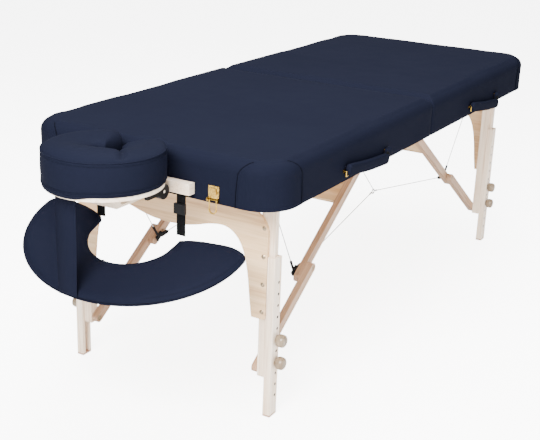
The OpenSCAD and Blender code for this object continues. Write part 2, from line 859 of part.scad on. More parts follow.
module cradle_base() {
    color(wood) place() difference() {
        union() {
            translate([-bar_x - bar_d, -bar_half, bar_z]) cube([bar_d, 2 * bar_half, bar_h]);
            both_sides() {
                translate([-arm_end, arm_y - arm_w / 2, arm_z - arm_h / 2])
                    cube([arm_end - bar_x - bar_d + over, arm_w, arm_h]);
                translate([-bar_x - bar_d / 2, dowel_y, dowel_z]) rotate([0, 90, 0])
                    cylinder(h = dowel_in + bar_gap + bar_d / 2, r = dowel_d / 2, $fn = fine);
            }
            translate([-arm_end, -arm_y, arm_z - arm_h / 2]) cube([arm_w, 2 * arm_y, arm_h]);
        }
        translate([-tilt_x, 0, tilt_z]) rod_y(tilt_r + run_gap, -arm_y - arm_w, arm_y + arm_w);
        both_sides() translate([-arm_end + arm_w, 0, arm_z]) {
            for (dx = [0, slot_l]) translate([dx, 0, 0]) rod_y(slot_h / 2, arm_y - arm_w, arm_y + arm_w);
            translate([0, arm_y - arm_w, -slot_h / 2]) cube([slot_l, 2 * arm_w, slot_h]);
        }
    }
}

module platform_plan() {
    difference() {
        circle(r = platform_r, $fn = 2 * fine);
        circle(r = platform_hole, $fn = fine);
        translate([0, -platform_mouth / 2]) square([2 * platform_r, platform_mouth]);
    }
}

module cradle_platform() {
    color(wood) place() {
        translate([-cushion_x, 0, platform_z]) linear_extrude(platform_t) platform_plan();
        both_sides() difference() {
            union() {
                translate([-tilt_x - cheek_half, cheek_in, tilt_z])
                    cube([2 * cheek_half, cheek_w, platform_z - tilt_z]);
                translate([-tilt_x, 0, tilt_z]) rod_y(cheek_r, cheek_in, cheek_out);
            }
            translate([-tilt_x, 0, tilt_z]) rod_y(tilt_r, cheek_in - over, cheek_out + over);
        }
        translate([-tilt_x, 0, tilt_z]) rod_y(tilt_r, -cheek_out - cam_l, cheek_out);
    }
}

// Horseshoe cushion: an oval section swept round the face opening, closed by rounded ends
module cradle_cushion() {
    mid_r = (cushion_r + face_hole_r) / 2;
    half_band = (cushion_r - face_hole_r) / 2;
    cap = round_shares;
    sweep = 360 - 2 * cushion_mouth_deg;
    cap_deg = half_band / mid_r * 90 / PI;
    stations = concat(
        [for (i = [0 : len(cap) - 1]) [cap_deg * (1 - sqrt(1 - pow(cap[i], 2))), cap[i]]],
        [for (i = [0 : cushion_n]) [cap_deg + (sweep - 2 * cap_deg) * i / cushion_n, 1]],
        [for (i = [len(cap) - 1 : -1 : 0]) [sweep - cap_deg * (1 - sqrt(1 - pow(cap[i], 2))), cap[i]]]);
    section = [for (i = [0 : ring_n - 1]) let(a = 360 * i / ring_n, c = cos(a), s = sin(a))
        [sign(c) * pow(abs(c), 0.55), s < 0 ? -pow(abs(s), 0.5) : pow(s, 0.7)]];
    rings = [for (st = stations) let(a = cushion_mouth_deg + st[0], k = st[1])
        [for (p = section) let(r = mid_r + p[0] * half_band * k)
            [r * cos(a) - cushion_x, r * sin(a),
                cushion_z + cushion_h / 2 + p[1] * cushion_h / 2 * (k + 1) / 2]]];
    color(vinyl) place() ring_solid(rings);
}

module cradle_cam_lever() {
    color(black) place() translate([-tilt_x, 0, tilt_z]) difference() {
        union() {
            rod_y(cam_r, -cheek_out - side_gap - cam_l, -cheek_out - side_gap);
            translate([-cam_r - lever_l, -cheek_out - cam_l, -lever_w / 2])
                cube([cam_r + lever_l, lever_t, lever_w]);
            translate([-cam_r - lever_l, 0, 0])
                rod_y(lever_w / 2, -cheek_out - cam_l, lever_t - cheek_out - cam_l);
        }
        rod_y(tilt_r + run_gap, -cheek_out - 2 * cam_l, 0);
    }
}

// Arm shelf: a padded crescent, sloping down to the front, with rounded horns
function shelf_height(x) = shelf_z + shelf_slope * (x + shelf_x);

module arm_shelf() {
    cap = round_shares;
    cap_deg = shelf_cap_deg;
    reach = shelf_reach_deg;
    stations = concat(
        [for (i = [0 : len(cap) - 1]) [-reach + cap_deg * (1 - sqrt(1 - pow(cap[i], 2))), cap[i]]],
        [for (i = [0 : shelf_n]) [-reach + cap_deg + 2 * (reach - cap_deg) * i / shelf_n, 1]],
        [for (i = [len(cap) - 1 : -1 : 0]) [reach - cap_deg * (1 - sqrt(1 - pow(cap[i], 2))), cap[i]]]);
    section = [for (i = [0 : ring_n - 1]) let(a = 360 * i / ring_n, c = cos(a), s = sin(a))
        [sign(c) * pow(abs(c), 0.3), sign(s) * pow(abs(s), 0.9)]];
    rings = [for (st = stations) let(a = st[0], k = st[1],
            outer = [-shelf_front * cos(a), shelf_half * sin(a)],
            inner = [-shelf_in_front * cos(a), shelf_in_half * sin(a)],
            mid = (outer + inner) / 2, arm = (outer - inner) / 2)
        [for (p = section) let(q = mid + arm * p[0] * k, x = q[0] - shelf_x)
            [x, q[1], shelf_height(x) + p[1] * shelf_t / 2 * (k + 1) / 2]]];
    color(vinyl) place() ring_solid(rings);
}

module strap_run(x0, z0, x1, z1, y, w, t) {
    l = norm([x1 - x0, z1 - z0]);
    translate([x0, y - w / 2, z0]) rotate([0, -atan2(z1 - z0, x1 - x0), 0])
        translate([0, 0, -t / 2]) cube([l, w, t]);
}

module shelf_straps() {
    front_x = -shelf_x - shelf_front - front_strap_t / 2 - soft_gap;
    front_z = shelf_height(front_x) - shelf_t / 2;
    rear_x = -bar_x - bar_d / 2;
    rear_z = shelf_height(rear_x) + shelf_t / 2 + soft_gap;
    color(vinyl) place()
        strap_run(front_x, front_z, front_x, platform_z - soft_gap,
            front_strap_y, front_strap_w, front_strap_t);
    color(black) place() both_sides()
        strap_run(rear_x, rear_z, rear_x, bar_z - soft_gap,
            rear_strap_y, rear_strap_w, rear_strap_t);
}

module strap_buckles() {
    rear_x = -bar_x - bar_d / 2;
    color(black) place() both_sides()
        translate([rear_x - rear_strap_t / 2 - buckle_t, rear_strap_y - buckle_w / 2, buckle_z])
            cube([buckle_t - soft_gap, buckle_w, buckle_h]);
}

frame(false);  // head_frame
frame(true);  // foot_frame
deck(false);  // head_deck
deck(true);  // foot_deck
pad(false);  // head_pad
pad(true);  // foot_pad
skirt(false);  // head_skirt
skirt(true);  // foot_skirt
hinge_leaf(false);  // head_hinge_leaf
hinge_leaf(true);  // foot_hinge_leaf
centre_hinge_pin();
pivot_bolts(false);  // head_pivot_bolts
pivot_bolts(true);  // foot_pivot_bolts
handle(false);  // head_handle
handle(true);  // foot_handle
handle_rings(false);  // head_handle_rings
handle_rings(true);  // foot_handle_rings
latch_bases();
latch_loops();
latch_strikes();
leg_posts(false);  // head_leg_posts
leg_posts(true);  // foot_leg_posts
arch_panel(false);  // head_arch_panel
arch_panel(true);  // foot_arch_panel
leg_bolts(false);  // head_leg_bolts
leg_bolts(true);  // foot_leg_bolts
extension(false, false);  // head_right_extension
extension(false, true);  // head_left_extension
extension(true, false);  // foot_right_extension
extension(true, true);  // foot_left_extension
rubber_foot(false, false);  // head_right_foot
rubber_foot(false, true);  // head_left_foot
rubber_foot(true, false);  // foot_right_foot
rubber_foot(true, true);  // foot_left_foot
knob(false, false, true);  // head_right_upper_knob
knob(false, false, false);  // head_right_lower_knob
knob(false, true, true);  // head_left_upper_knob
knob(false, true, false);  // head_left_lower_knob
knob(true, false, true);  // foot_right_upper_knob
knob(true, false, false);  // foot_right_lower_knob
knob(true, true, true);  // foot_left_upper_knob
knob(true, true, false);  // foot_left_lower_knob
lower_braces(false);  // head_lower_braces
lower_braces(true);  // foot_lower_braces
elbow_bolts(false);  // head_elbow_bolts
elbow_bolts(true);  // foot_elbow_bolts
upper_braces(false);  // head_upper_braces
upper_braces(true);  // foot_upper_braces
brace_stretcher(false);  // head_brace_stretcher
brace_stretcher(true);  // foot_brace_stretcher
cable_clips(false);  // head_cable_clips
cable_clips(true);  // foot_cable_clips
restraint_cables();
cradle_base();
cradle_platform();
cradle_cushion();
cradle_cam_lever();
arm_shelf();
shelf_straps();
strap_buckles();
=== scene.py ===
"""Looks of the folding massage table: upholstery, wood, brass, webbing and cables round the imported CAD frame.

Lengths in the classes are millimetres in the table's own frame: X = 0 at the centre hinge with the head
end at -X, Y = 0 on the long middle line and Z = 0 on the floor. at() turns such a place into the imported
frame's metres.
"""

import json
import logging
import math
from dataclasses import dataclass
from enum import Enum
from typing import Callable, Iterable, Optional, Sequence

import bmesh
import bpy
import numpy as np
from mathutils import Matrix, Vector, kdtree

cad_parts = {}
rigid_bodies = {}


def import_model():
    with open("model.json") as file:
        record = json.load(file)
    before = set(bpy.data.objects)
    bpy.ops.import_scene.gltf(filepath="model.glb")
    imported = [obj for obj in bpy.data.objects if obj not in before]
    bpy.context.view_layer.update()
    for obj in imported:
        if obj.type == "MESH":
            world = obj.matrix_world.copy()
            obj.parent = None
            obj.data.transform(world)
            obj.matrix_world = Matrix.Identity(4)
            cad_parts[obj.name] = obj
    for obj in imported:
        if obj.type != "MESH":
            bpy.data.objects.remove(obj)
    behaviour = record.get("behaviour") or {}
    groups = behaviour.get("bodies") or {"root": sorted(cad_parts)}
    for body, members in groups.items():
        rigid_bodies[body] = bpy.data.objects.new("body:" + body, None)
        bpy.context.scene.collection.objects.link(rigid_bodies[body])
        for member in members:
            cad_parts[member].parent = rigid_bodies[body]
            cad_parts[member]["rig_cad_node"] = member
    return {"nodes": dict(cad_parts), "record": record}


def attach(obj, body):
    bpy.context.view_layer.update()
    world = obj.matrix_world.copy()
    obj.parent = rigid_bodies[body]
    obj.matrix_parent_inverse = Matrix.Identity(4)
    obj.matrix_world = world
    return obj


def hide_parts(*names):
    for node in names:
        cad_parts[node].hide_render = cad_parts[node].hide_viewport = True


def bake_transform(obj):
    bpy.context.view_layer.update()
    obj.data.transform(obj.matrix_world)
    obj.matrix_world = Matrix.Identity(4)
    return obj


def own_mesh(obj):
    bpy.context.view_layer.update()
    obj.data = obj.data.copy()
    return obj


LOG = logging.getLogger("massage_table")
SHIFT = (145.0, 8.25)  # from the table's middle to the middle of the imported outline, in mm
MM = 0.001
WAVE_MM = 314.0  # pitch of a wave texture's bands at scale 1

Point = tuple[float, float, float]
Shape = tuple[list, list]  # points and faces
Group = tuple[bpy.types.NodeTree, bpy.types.Node, bpy.types.Node]


# Small tools


def at(x: float, y: float, z: float) -> Vector:
    """A place on the table, in mm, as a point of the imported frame, in metres."""
    return Vector(((x + SHIFT[0]) * MM, (y + SHIFT[1]) * MM, z * MM))


def linear(code: str, alpha: float = 1.0) -> tuple[float, float, float, float]:
    """Turns an sRGB hex colour into linear values.

    Args:
        code: the colour, such as "#c9a44a".
        alpha: the fourth value.

    Returns:
        Red, green, blue and alpha, linear.
    """
    parts = [int(code[i : i + 2], 16) / 255 for i in (1, 3, 5)]
    out = [c / 12.92 if c <= 0.04045 else ((c + 0.055) / 1.055) ** 2.4 for c in parts]
    return (out[0], out[1], out[2], alpha)


def add_node(tree: bpy.types.NodeTree, kind: str, settings: Optional[dict] = None,
    inputs: Optional[dict] = None) -> bpy.types.Node:
    """Adds one node with its settings and links.

    Args:
        tree: the node tree.
        kind: the node's type name.
        settings: attributes of the node.
        inputs: values by input name or index; a (node, output name) pair is linked.

    Returns:
        The new node.
    """
    node = tree.nodes.new(kind)
    for key, value in (settings or {}).items():
        setattr(node, key, value)
    for key, value in (inputs or {}).items():
        socket = node.inputs[key]
        if isinstance(value, tuple) and value and isinstance(value[0], bpy.types.Node):
            tree.links.new(value[0].outputs[value[1]], socket)
        else:
            socket.default_value = value
    return node


def ramp(tree: bpy.types.NodeTree, source: tuple, stops: Sequence[tuple[float, tuple]]) -> bpy.types.Node:
    """A colour ramp from a list of (place, colour) stops, fed by a (node, output) pair.

    Args:
        tree: the node tree.
        source: the (node, output name) pair that drives it.
        stops: (place, colour) pairs, from 0 to 1.

    Returns:
        The ramp's node.
    """
    node = add_node(tree, "ShaderNodeValToRGB", inputs={"Fac": source})
    band = node.color_ramp
    while len(band.elements) < len(stops):
        band.elements.new(0.5)
    for element, (place, colour) in zip(band.elements, stops):
        element.position = place
        element.color = colour
    return node


def grey(value: float) -> tuple[float, float, float, float]:
    """A grey stop for a ramp that drives roughness or height."""
    return (value, value, value, 1.0)


def mesh_piece(name: str, points: Iterable, faces: Iterable, finish: "Finish",
    smooth: bool = True) -> bpy.types.Object:
    """Makes a mesh object whose place is in its mesh.

    Args:
        name: the piece's name.
        points: corners in metres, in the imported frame.
        faces: corner numbers of each face.
        finish: what it is made of.
        smooth: whether the faces are shaded smooth.

    Returns:
        The object, linked to the scene.
    """
    mesh = bpy.data.meshes.new(name)
    mesh.from_pydata([tuple(p) for p in points], [], [tuple(f) for f in faces])
    mesh.validate()
    mesh.update()
    piece = bpy.data.objects.new(name, mesh)
    bpy.context.scene.collection.objects.link(piece)
    finish.dress(piece)
    if smooth:
        mesh.shade_smooth()
    return piece


def face_out(piece: bpy.types.Object, merge: float = 1e-6) -> None:
    """Merges doubles and turns the faces of a closed mesh outwards.

    Args:
        piece: the mesh object.
        merge: how close two corners are to be merged, in metres.
    """
    work = bmesh.new()
    work.from_mesh(piece.data)
    bmesh.ops.remove_doubles(work, verts=work.verts, dist=merge)
    bmesh.ops.recalc_face_normals(work, faces=work.faces)
    work.to_mesh(piece.data)
    work.free()
    piece.data.update()


def loft(rings: Sequence[Sequence], closed: bool = True, caps: bool = True) -> Shape:
    """Joins rings of the same number of points.

    Args:
        rings: the rings, each a list of points.
        closed: whether each ring closes on itself.
        caps: whether the first and last ring are filled by a fan.

    Returns:
        Points and faces.
    """
    n = len(rings[0])
    points = [p for ring in rings for p in ring]
    faces = []
    last = n if closed else n - 1
    for k in range(len(rings) - 1):
        for i in range(last):
            j = (i + 1) % n
            faces.append((k * n + i, k * n + j, (k + 1) * n + j, (k + 1) * n + i))
    if caps:
        for k in (0, len(rings) - 1):
            middle = sum((Vector(p) for p in rings[k]), Vector()) / n
            points.append(tuple(middle))
            c = len(points) - 1
            for i in range(n):
                j = (i + 1) % n
                faces.append((c, k * n + j, k * n + i) if k == 0 else (c, k * n + i, k * n + j))
    return points, faces


def tube(path: Sequence[Vector], radius: float, sides: int = 8, flat: float = 1.0,
    up: Optional[Sequence[Vector]] = None) -> Shape:
    """Sweeps a round or oval section along a path.

    Args:
        path: points in metres.
        radius: section radius in metres.
        sides: how many sides the section has.
        flat: height of the section as a share of its width.
        up: the section's upward direction at each point; the world's Z where it is left out.

    Returns:
        Points and faces of a closed tube with capped ends.
    """
    rings = []
    for i, p in enumerate(path):
        a, b = path[max(i - 1, 0)], path[min(i + 1, len(path) - 1)]
        along = (b - a).normalized()
        high = up[i] if up is not None else Vector((0, 0, 1))
        if abs(along.dot(high)) > 0.98 * high.length:
            high = Vector((1, 0, 0))
        side = along.cross(high).normalized()
        high = side.cross(along).normalized()
        turns = [2 * math.pi * k / sides for k in range(sides)]
        rings.append([tuple(p + side * (radius * math.cos(a)) + high * (flat * radius * math.sin(a)))
            for a in turns])
    return loft(rings)


def resample(path: Sequence[Vector], step: float) -> list[Vector]:
    """Points along a polyline at even steps, ends kept.

    Args:
        path: the polyline's points.
        step: the distance aimed at between two points, in metres.

    Returns:
        The new points.
    """
    lengths = [0.0]
    for a, b in zip(path, path[1:]):
        lengths.append(lengths[-1] + (b - a).length)
    count = max(2, int(round(lengths[-1] / step)) + 1)
    out, seg = [], 0
    for i in range(count):
        d = lengths[-1] * i / (count - 1)
        while seg < len(path) - 2 and lengths[seg + 1] < d:
            seg += 1
        span = lengths[seg + 1] - lengths[seg]
        t = 0.0 if span < 1e-12 else (d - lengths[seg]) / span
        out.append(path[seg].lerp(path[seg + 1], min(max(t, 0.0), 1.0)))
    return out


def smooth_path(points: Sequence[Vector], per: int = 8) -> list[Vector]:
    """A smooth curve through given points.

    Args:
        points: the points it goes through.
        per: steps between two of them.

    Returns:
        Points along the curve.
    """
    out = []
    for i in range(len(points) - 1):
        a, b = points[max(i - 1, 0)], points[i]
        c, d = points[i + 1], points[min(i + 2, len(points) - 1)]
        for k in range(per):
            t = k / per
            slope = (c - a) * t
            bend = (2 * a - 5 * b + 4 * c - d) * t * t
            twist = (3 * b - a - 3 * c + d) * t ** 3
            out.append(0.5 * (2 * b + slope + bend + twist))
    out.append(points[-1])
    return out


def merge_parts(parts: Sequence[Shape]) -> Shape:
    """Joins several (points, faces) into one.

    Args:
        parts: the shapes to join.

    Returns:
        Points and faces of them all.
    """
    points: list = []
    faces: list = []
    for p, f in parts:
        start = len(points)
        points += list(p)
        faces += [tuple(start + i for i in face) for face in f]
    return points, faces


def apply_modifiers(piece: bpy.types.Object) -> None:
    """Turns a piece with its modifiers into a plain mesh.

    Args:
        piece: the object to settle.
    """
    bpy.context.view_layer.update()
    graph = bpy.context.evaluated_depsgraph_get()
    mesh = bpy.data.meshes.new_from_object(piece.evaluated_get(graph))
    mesh.name = piece.name
    piece.modifiers.clear()
    piece.data = mesh


# Finishes


class Grain(Enum):
    """Which way the wood fibres run on a piece."""

    ALONG = (0.0, 0.0, 0.0)
    ACROSS = (0.0, 0.0, math.pi / 2)
    UPRIGHT = (0.0, math.pi / 2, 0.0)
    HEAD_BRACE = (0.0, math.radians(34.54), 0.0)
    FOOT_BRACE = (0.0, -math.radians(34.54), 0.0)


@dataclass(frozen=True)
class Finish:
    """A surface: the name of its material and the record's slot it belongs to."""

    name: str
    slot: str

    def shade(self, tree: bpy.types.NodeTree, shader: bpy.types.Node) -> None:
        """Adds this finish's own nodes in front of the shader."""
        raise NotImplementedError

    def material(self) -> bpy.types.Material:
        """The finish's material, made once."""
        found = bpy.data.materials.get(self.name)
        if found:
            return found
        made = bpy.data.materials.new(self.name)
        made.use_nodes = True
        tree = made.node_tree
        self.shade(tree, tree.nodes["Principled BSDF"])
        return made

    def dress(self, piece: bpy.types.Object) -> bpy.types.Object:
        """Gives a piece this finish alone.

        Args:
            piece: the object to dress.

        Returns:
            The same object.
        """
        piece.data.materials.clear()
        piece.data.materials.append(self.material())
        return piece


@dataclass(frozen=True)
class WashedWood(Finish):
    """Solid maple, planed, white-stained and lacquered satin: pale pinkish cream with faint darker fibres."""

    grain: Grain = Grain.UPRIGHT
    pale: str = "#efe3d3"
    middle: str = "#e5d3bf"
    dark: str = "#ccb299"
    wash: str = "#f2e4d6"  # where the white stain took less
    fibre_mm: float = 5.0  # real pores are under 0.5 mm; drawn coarse enough to show
    run_mm: float = 160.0
    rough: tuple[float, float] = (0.38, 0.52)

    def shade(self, tree: bpy.types.NodeTree, shader: bpy.types.Node) -> None:
        """Long noise fibres, a broad tone drift and a shallow bump.

        Args:
            tree: the material's node tree.
            shader: its Principled shader.
        """
        where = add_node(tree, "ShaderNodeTexCoord")
        turned = add_node(tree, "ShaderNodeMapping",
            inputs={"Vector": (where, "Object"), "Rotation": self.grain.value})
        fine = add_node(tree, "ShaderNodeMapping", inputs={"Vector": (turned, "Vector"),
            "Scale": (1000 / self.run_mm, 1000 / self.fibre_mm, 1000 / self.fibre_mm)})
        broad = add_node(tree, "ShaderNodeMapping", inputs={"Vector": (turned, "Vector"),
            "Scale": (1000 / (3 * self.run_mm), 1000 / (9 * self.fibre_mm), 1000 / (9 * self.fibre_mm))})
        fibres = add_node(tree, "ShaderNodeTexNoise",
            inputs={"Vector": (fine, "Vector"), "Scale": 1.0, "Detail": 5.0, "Roughness": 0.62,
                "Distortion": 0.35})
        drift = add_node(tree, "ShaderNodeTexNoise",
            inputs={"Vector": (broad, "Vector"), "Scale": 1.0, "Detail": 2.0, "Roughness": 0.5,
                "Distortion": 0.6})
        tone = ramp(tree, (fibres, "Fac"),
            [(0.30, linear(self.dark)), (0.47, linear(self.middle)), (0.66, linear(self.pale))])
        wash = ramp(tree, (drift, "Fac"), [(0.32, linear(self.wash)), (0.62, linear("#ffffff"))])
        colour = add_node(tree, "ShaderNodeMix", {"data_type": "RGBA", "blend_type": "MULTIPLY"},
            {0: 0.75, 6: (tone, "Color"), 7: (wash, "Color")})
        tree.links.new(colour.outputs[2], shader.inputs["Base Color"])
        sheen = ramp(tree, (fibres, "Fac"), [(0.3, grey(self.rough[1])), (0.7, grey(self.rough[0]))])
        tree.links.new(sheen.outputs["Color"], shader.inputs["Roughness"])
        bump = add_node(tree, "ShaderNodeBump",
            inputs={"Height": (fibres, "Fac"), "Strength": 0.22, "Distance": 0.0004})
        tree.links.new(bump.outputs["Normal"], shader.inputs["Normal"])
        shader.inputs["IOR"].default_value = 1.5
        shader.inputs["Coat Weight"].default_value = 0.12
        shader.inputs["Coat Roughness"].default_value = 0.3


@dataclass(frozen=True)
class BoredWood(WashedWood):
    """The same maple with its height holes, each hole and a thin ring round it painted dark brown as painted
    shade of the hole's inside.
    """

    axis_mm: float = 798.0  # from the centre hinge
    first_mm: float = 57.25
    pitch_mm: float = 31.75
    bores: int = 11
    bore_mm: float = 3.9  # the hole's radius and a thin ring round it, all painted dark as the hole's shade
    # painted shade: this dark brown stands in for the shade inside each height hole
    burnt: str = "#2e2119"

    def shade(self, tree: bpy.types.NodeTree, shader: bpy.types.Node) -> None:
        """Paints the holes' shade: darkens the wood within the bores' radius of their axes.

        Args:
            tree: the material's node tree.
            shader: its Principled shader.
        """
        super().shade(tree, shader)
        base = shader.inputs["Base Color"].links[0].from_socket
        where = add_node(tree, "ShaderNodeTexCoord")
        place = add_node(tree, "ShaderNodeSeparateXYZ", inputs={"Vector": (where, "Object")})
        middle = add_node(tree, "ShaderNodeMath", {"operation": "SUBTRACT"},
            {0: (place, "X"), 1: SHIFT[0] * MM})
        away = add_node(tree, "ShaderNodeMath", {"operation": "ABSOLUTE"}, {0: (middle, "Value")})
        across = add_node(tree, "ShaderNodeMath", {"operation": "SUBTRACT"},
            {0: (away, "Value"), 1: self.axis_mm * MM})
        raised = add_node(tree, "ShaderNodeMath", {"operation": "SUBTRACT"},
            {0: (place, "Z"), 1: (self.first_mm - self.pitch_mm / 2) * MM})
        top = (self.bores * self.pitch_mm - 0.1) * MM
        row = add_node(tree, "ShaderNodeClamp", inputs={"Value": (raised, "Value"), "Min": 0.0, "Max": top})
        turn = add_node(tree, "ShaderNodeMath", {"operation": "FLOORED_MODULO"},
            {0: (row, "Result"), 1: self.pitch_mm * MM})
        up = add_node(tree, "ShaderNodeMath", {"operation": "SUBTRACT"},
            {0: (turn, "Value"), 1: self.pitch_mm / 2 * MM})
        pair = add_node(tree, "ShaderNodeCombineXYZ", inputs={"X": (across, "Value"), "Y": (up, "Value")})
        far = add_node(tree, "ShaderNodeVectorMath", {"operation": "LENGTH"}, {0: (pair, "Vector")})
        inside = add_node(tree, "ShaderNodeMath", {"operation": "LESS_THAN"},
            {0: (far, "Value"), 1: self.bore_mm * MM})
        colour = add_node(tree, "ShaderNodeMix", {"data_type": "RGBA"},
            {0: (inside, "Value"), 7: linear(self.burnt)})
        tree.links.new(base, colour.inputs[6])
        tree.links.new(colour.outputs[2], shader.inputs["Base Color"])


@dataclass(frozen=True)
class Vinyl(Finish):
    """Navy upholstery vinyl, calendered and embossed: a soft even sheen broken by a fine pebbled grain."""

    base: str = "#11131e"
    deep: str = "#10121d"
    shine: float = 0.004  # matched to the photo, where the cover hardly mirrors the white room
    pebble_mm: float = 3.2  # real pebbles are about 0.8 mm; drawn coarse enough to show
    crease_mm: float = 70.0
    drift_mm: float = 320.0
    rough: tuple[float, float] = (0.53, 0.58)

    def shade(self, tree: bpy.types.NodeTree, shader: bpy.types.Node) -> None:
        """Pebbled cells, slow colour drift and a low bump.

        Args:
            tree: the material's node tree.
            shader: its Principled shader.
        """
        where = add_node(tree, "ShaderNodeTexCoord")
        cells = add_node(tree, "ShaderNodeTexVoronoi", {"feature": "SMOOTH_F1"},
            {"Vector": (where, "Object"), "Scale": 1000 / self.pebble_mm, "Smoothness": 0.35})
        creases = add_node(tree, "ShaderNodeTexNoise",
            inputs={"Vector": (where, "Object"), "Scale": 1000 / self.crease_mm, "Detail": 3.0,
                "Roughness": 0.55})
        slow = add_node(tree, "ShaderNodeTexNoise",
            inputs={"Vector": (where, "Object"), "Scale": 1000 / self.drift_mm, "Detail": 2.0})
        colour = ramp(tree, (slow, "Fac"), [(0.34, linear(self.deep)), (0.66, linear(self.base))])
        tree.links.new(colour.outputs["Color"], shader.inputs["Base Color"])
        gloss = ramp(tree, (creases, "Fac"), [(0.3, grey(self.rough[0])), (0.7, grey(self.rough[1]))])
        tree.links.new(gloss.outputs["Color"], shader.inputs["Roughness"])
        soft = add_node(tree, "ShaderNodeBump",
            inputs={"Height": (creases, "Fac"), "Strength": 0.08, "Distance": 0.0008})
        bump = add_node(tree, "ShaderNodeBump",
            inputs={"Height": (cells, "Distance"), "Strength": 0.22, "Distance": 0.0003,
                "Normal": (soft, "Normal")})
        tree.links.new(bump.outputs["Normal"], shader.inputs["Normal"])
        shader.inputs["IOR"].default_value = 1.5
        shader.inputs["Specular IOR Level"].default_value = self.shine


@dataclass(frozen=True)
class Metal(Finish):
    """Plated or drawn metal: bright, with fine wiping marks and slight tarnish."""

    bright: str = "#bd9a4b"
    worn: str = "#6a4d1c"
    rough: tuple[float, float] = (0.16, 0.34)
    mark_mm: float = 6.0

    def shade(self, tree: bpy.types.NodeTree, shader: bpy.types.Node) -> None:
        """Tarnish by noise in colour and roughness, and a faint bump.

        Args:
            tree: the material's node tree.
            shader: its Principled shader.
        """
        where = add_node(tree, "ShaderNodeTexCoord")
        marks = add_node(tree, "ShaderNodeTexNoise",
            inputs={"Vector": (where, "Object"), "Scale": 1000 / self.mark_mm, "Detail": 4.0,
                "Roughness": 0.6})
        colour = ramp(tree, (marks, "Fac"), [(0.3, linear(self.worn)), (0.52, linear(self.bright))])
        gloss = ramp(tree, (marks, "Fac"), [(0.3, grey(self.rough[1])), (0.62, grey(self.rough[0]))])
        bump = add_node(tree, "ShaderNodeBump",
            inputs={"Height": (marks, "Fac"), "Strength": 0.08, "Distance": 0.0002})
        tree.links.new(colour.outputs["Color"], shader.inputs["Base Color"])
        tree.links.new(gloss.outputs["Color"], shader.inputs["Roughness"])
        tree.links.new(bump.outputs["Normal"], shader.inputs["Normal"])
        shader.inputs["Metallic"].default_value = 1.0


@dataclass(frozen=True)
class Moulded(Finish):
    """Injection-moulded nylon or rubber: an even colour with a fine spark-eroded texture."""

    base: str = "#0d0d0e"
    light: str = "#141416"
    rough: tuple[float, float] = (0.42, 0.58)
    grit_mm: float = 2.4
    shine: float = 0.12  # the photo's blacks hardly mirror the white room

    def shade(self, tree: bpy.types.NodeTree, shader: bpy.types.Node) -> None:
        """Fine grit in height and roughness and a slow colour drift.

        Args:
            tree: the material's node tree.
            shader: its Principled shader.
        """
        where = add_node(tree, "ShaderNodeTexCoord")
        grit = add_node(tree, "ShaderNodeTexNoise",
            inputs={"Vector": (where, "Object"), "Scale": 1000 / self.grit_mm, "Detail": 3.0,
                "Roughness": 0.7})
        drift = add_node(tree, "ShaderNodeTexNoise",
            inputs={"Vector": (where, "Object"), "Scale": 1000 / (12 * self.grit_mm), "Detail": 2.0})
        colour = ramp(tree, (drift, "Fac"), [(0.35, linear(self.base)), (0.68, linear(self.light))])
        gloss = ramp(tree, (grit, "Fac"), [(0.3, grey(self.rough[0])), (0.7, grey(self.rough[1]))])
        bump = add_node(tree, "ShaderNodeBump",
            inputs={"Height": (grit, "Fac"), "Strength": 0.25, "Distance": 0.0002})
        tree.links.new(colour.outputs["Color"], shader.inputs["Base Color"])
        tree.links.new(gloss.outputs["Color"], shader.inputs["Roughness"])
        tree.links.new(bump.outputs["Normal"], shader.inputs["Normal"])
        shader.inputs["IOR"].default_value = 1.5
        shader.inputs["Specular IOR Level"].default_value = self.shine


@dataclass(frozen=True)
class Webbing(Finish):
    """Woven polypropylene strap: rows of flat yarns, matte in the grooves and glossier on the ribs, its colour
    darker in the grooves as painted shade.
    """

    # the weave's colour runs from dark in its grooves, as painted shade, to light on its ribs
    dark: str = "#060607"
    light: str = "#161618"
    pitch_mm: float = 3.6  # real yarns are about 1.5 mm; drawn coarse enough to show

    def shade(self, tree: bpy.types.NodeTree, shader: bpy.types.Node) -> None:
        """Two crossed bands multiplied into a weave, for height and for a colour with painted shade in its
        grooves.

        Args:
            tree: the material's node tree.
            shader: its Principled shader.
        """
        where = add_node(tree, "ShaderNodeTexCoord")
        rows = add_node(tree, "ShaderNodeTexWave", {"wave_type": "BANDS", "bands_direction": "Z"},
            {"Vector": (where, "Object"), "Scale": WAVE_MM / self.pitch_mm, "Distortion": 0.6,
                "Detail": 1.0})
        yarns = add_node(tree, "ShaderNodeTexWave", {"wave_type": "BANDS", "bands_direction": "Y"},
            {"Vector": (where, "Object"), "Scale": WAVE_MM / self.pitch_mm, "Distortion": 0.6,
                "Detail": 1.0})
        weave = add_node(tree, "ShaderNodeMath", {"operation": "MULTIPLY"},
            {0: (rows, "Fac"), 1: (yarns, "Fac")})
        # painted shade: the colour goes dark where the weave is low, in the grooves, and lighter on the ribs
        colour = ramp(tree, (weave, "Value"), [(0.05, linear(self.dark)), (0.75, linear(self.light))])
        gloss = ramp(tree, (weave, "Value"), [(0.1, grey(0.85)), (0.8, grey(0.55))])
        bump = add_node(tree, "ShaderNodeBump",
            inputs={"Height": (weave, "Value"), "Strength": 0.6, "Distance": 0.0005})
        tree.links.new(colour.outputs["Color"], shader.inputs["Base Color"])
        tree.links.new(gloss.outputs["Color"], shader.inputs["Roughness"])
        tree.links.new(bump.outputs["Normal"], shader.inputs["Normal"])
        shader.inputs["Specular IOR Level"].default_value = 0.04


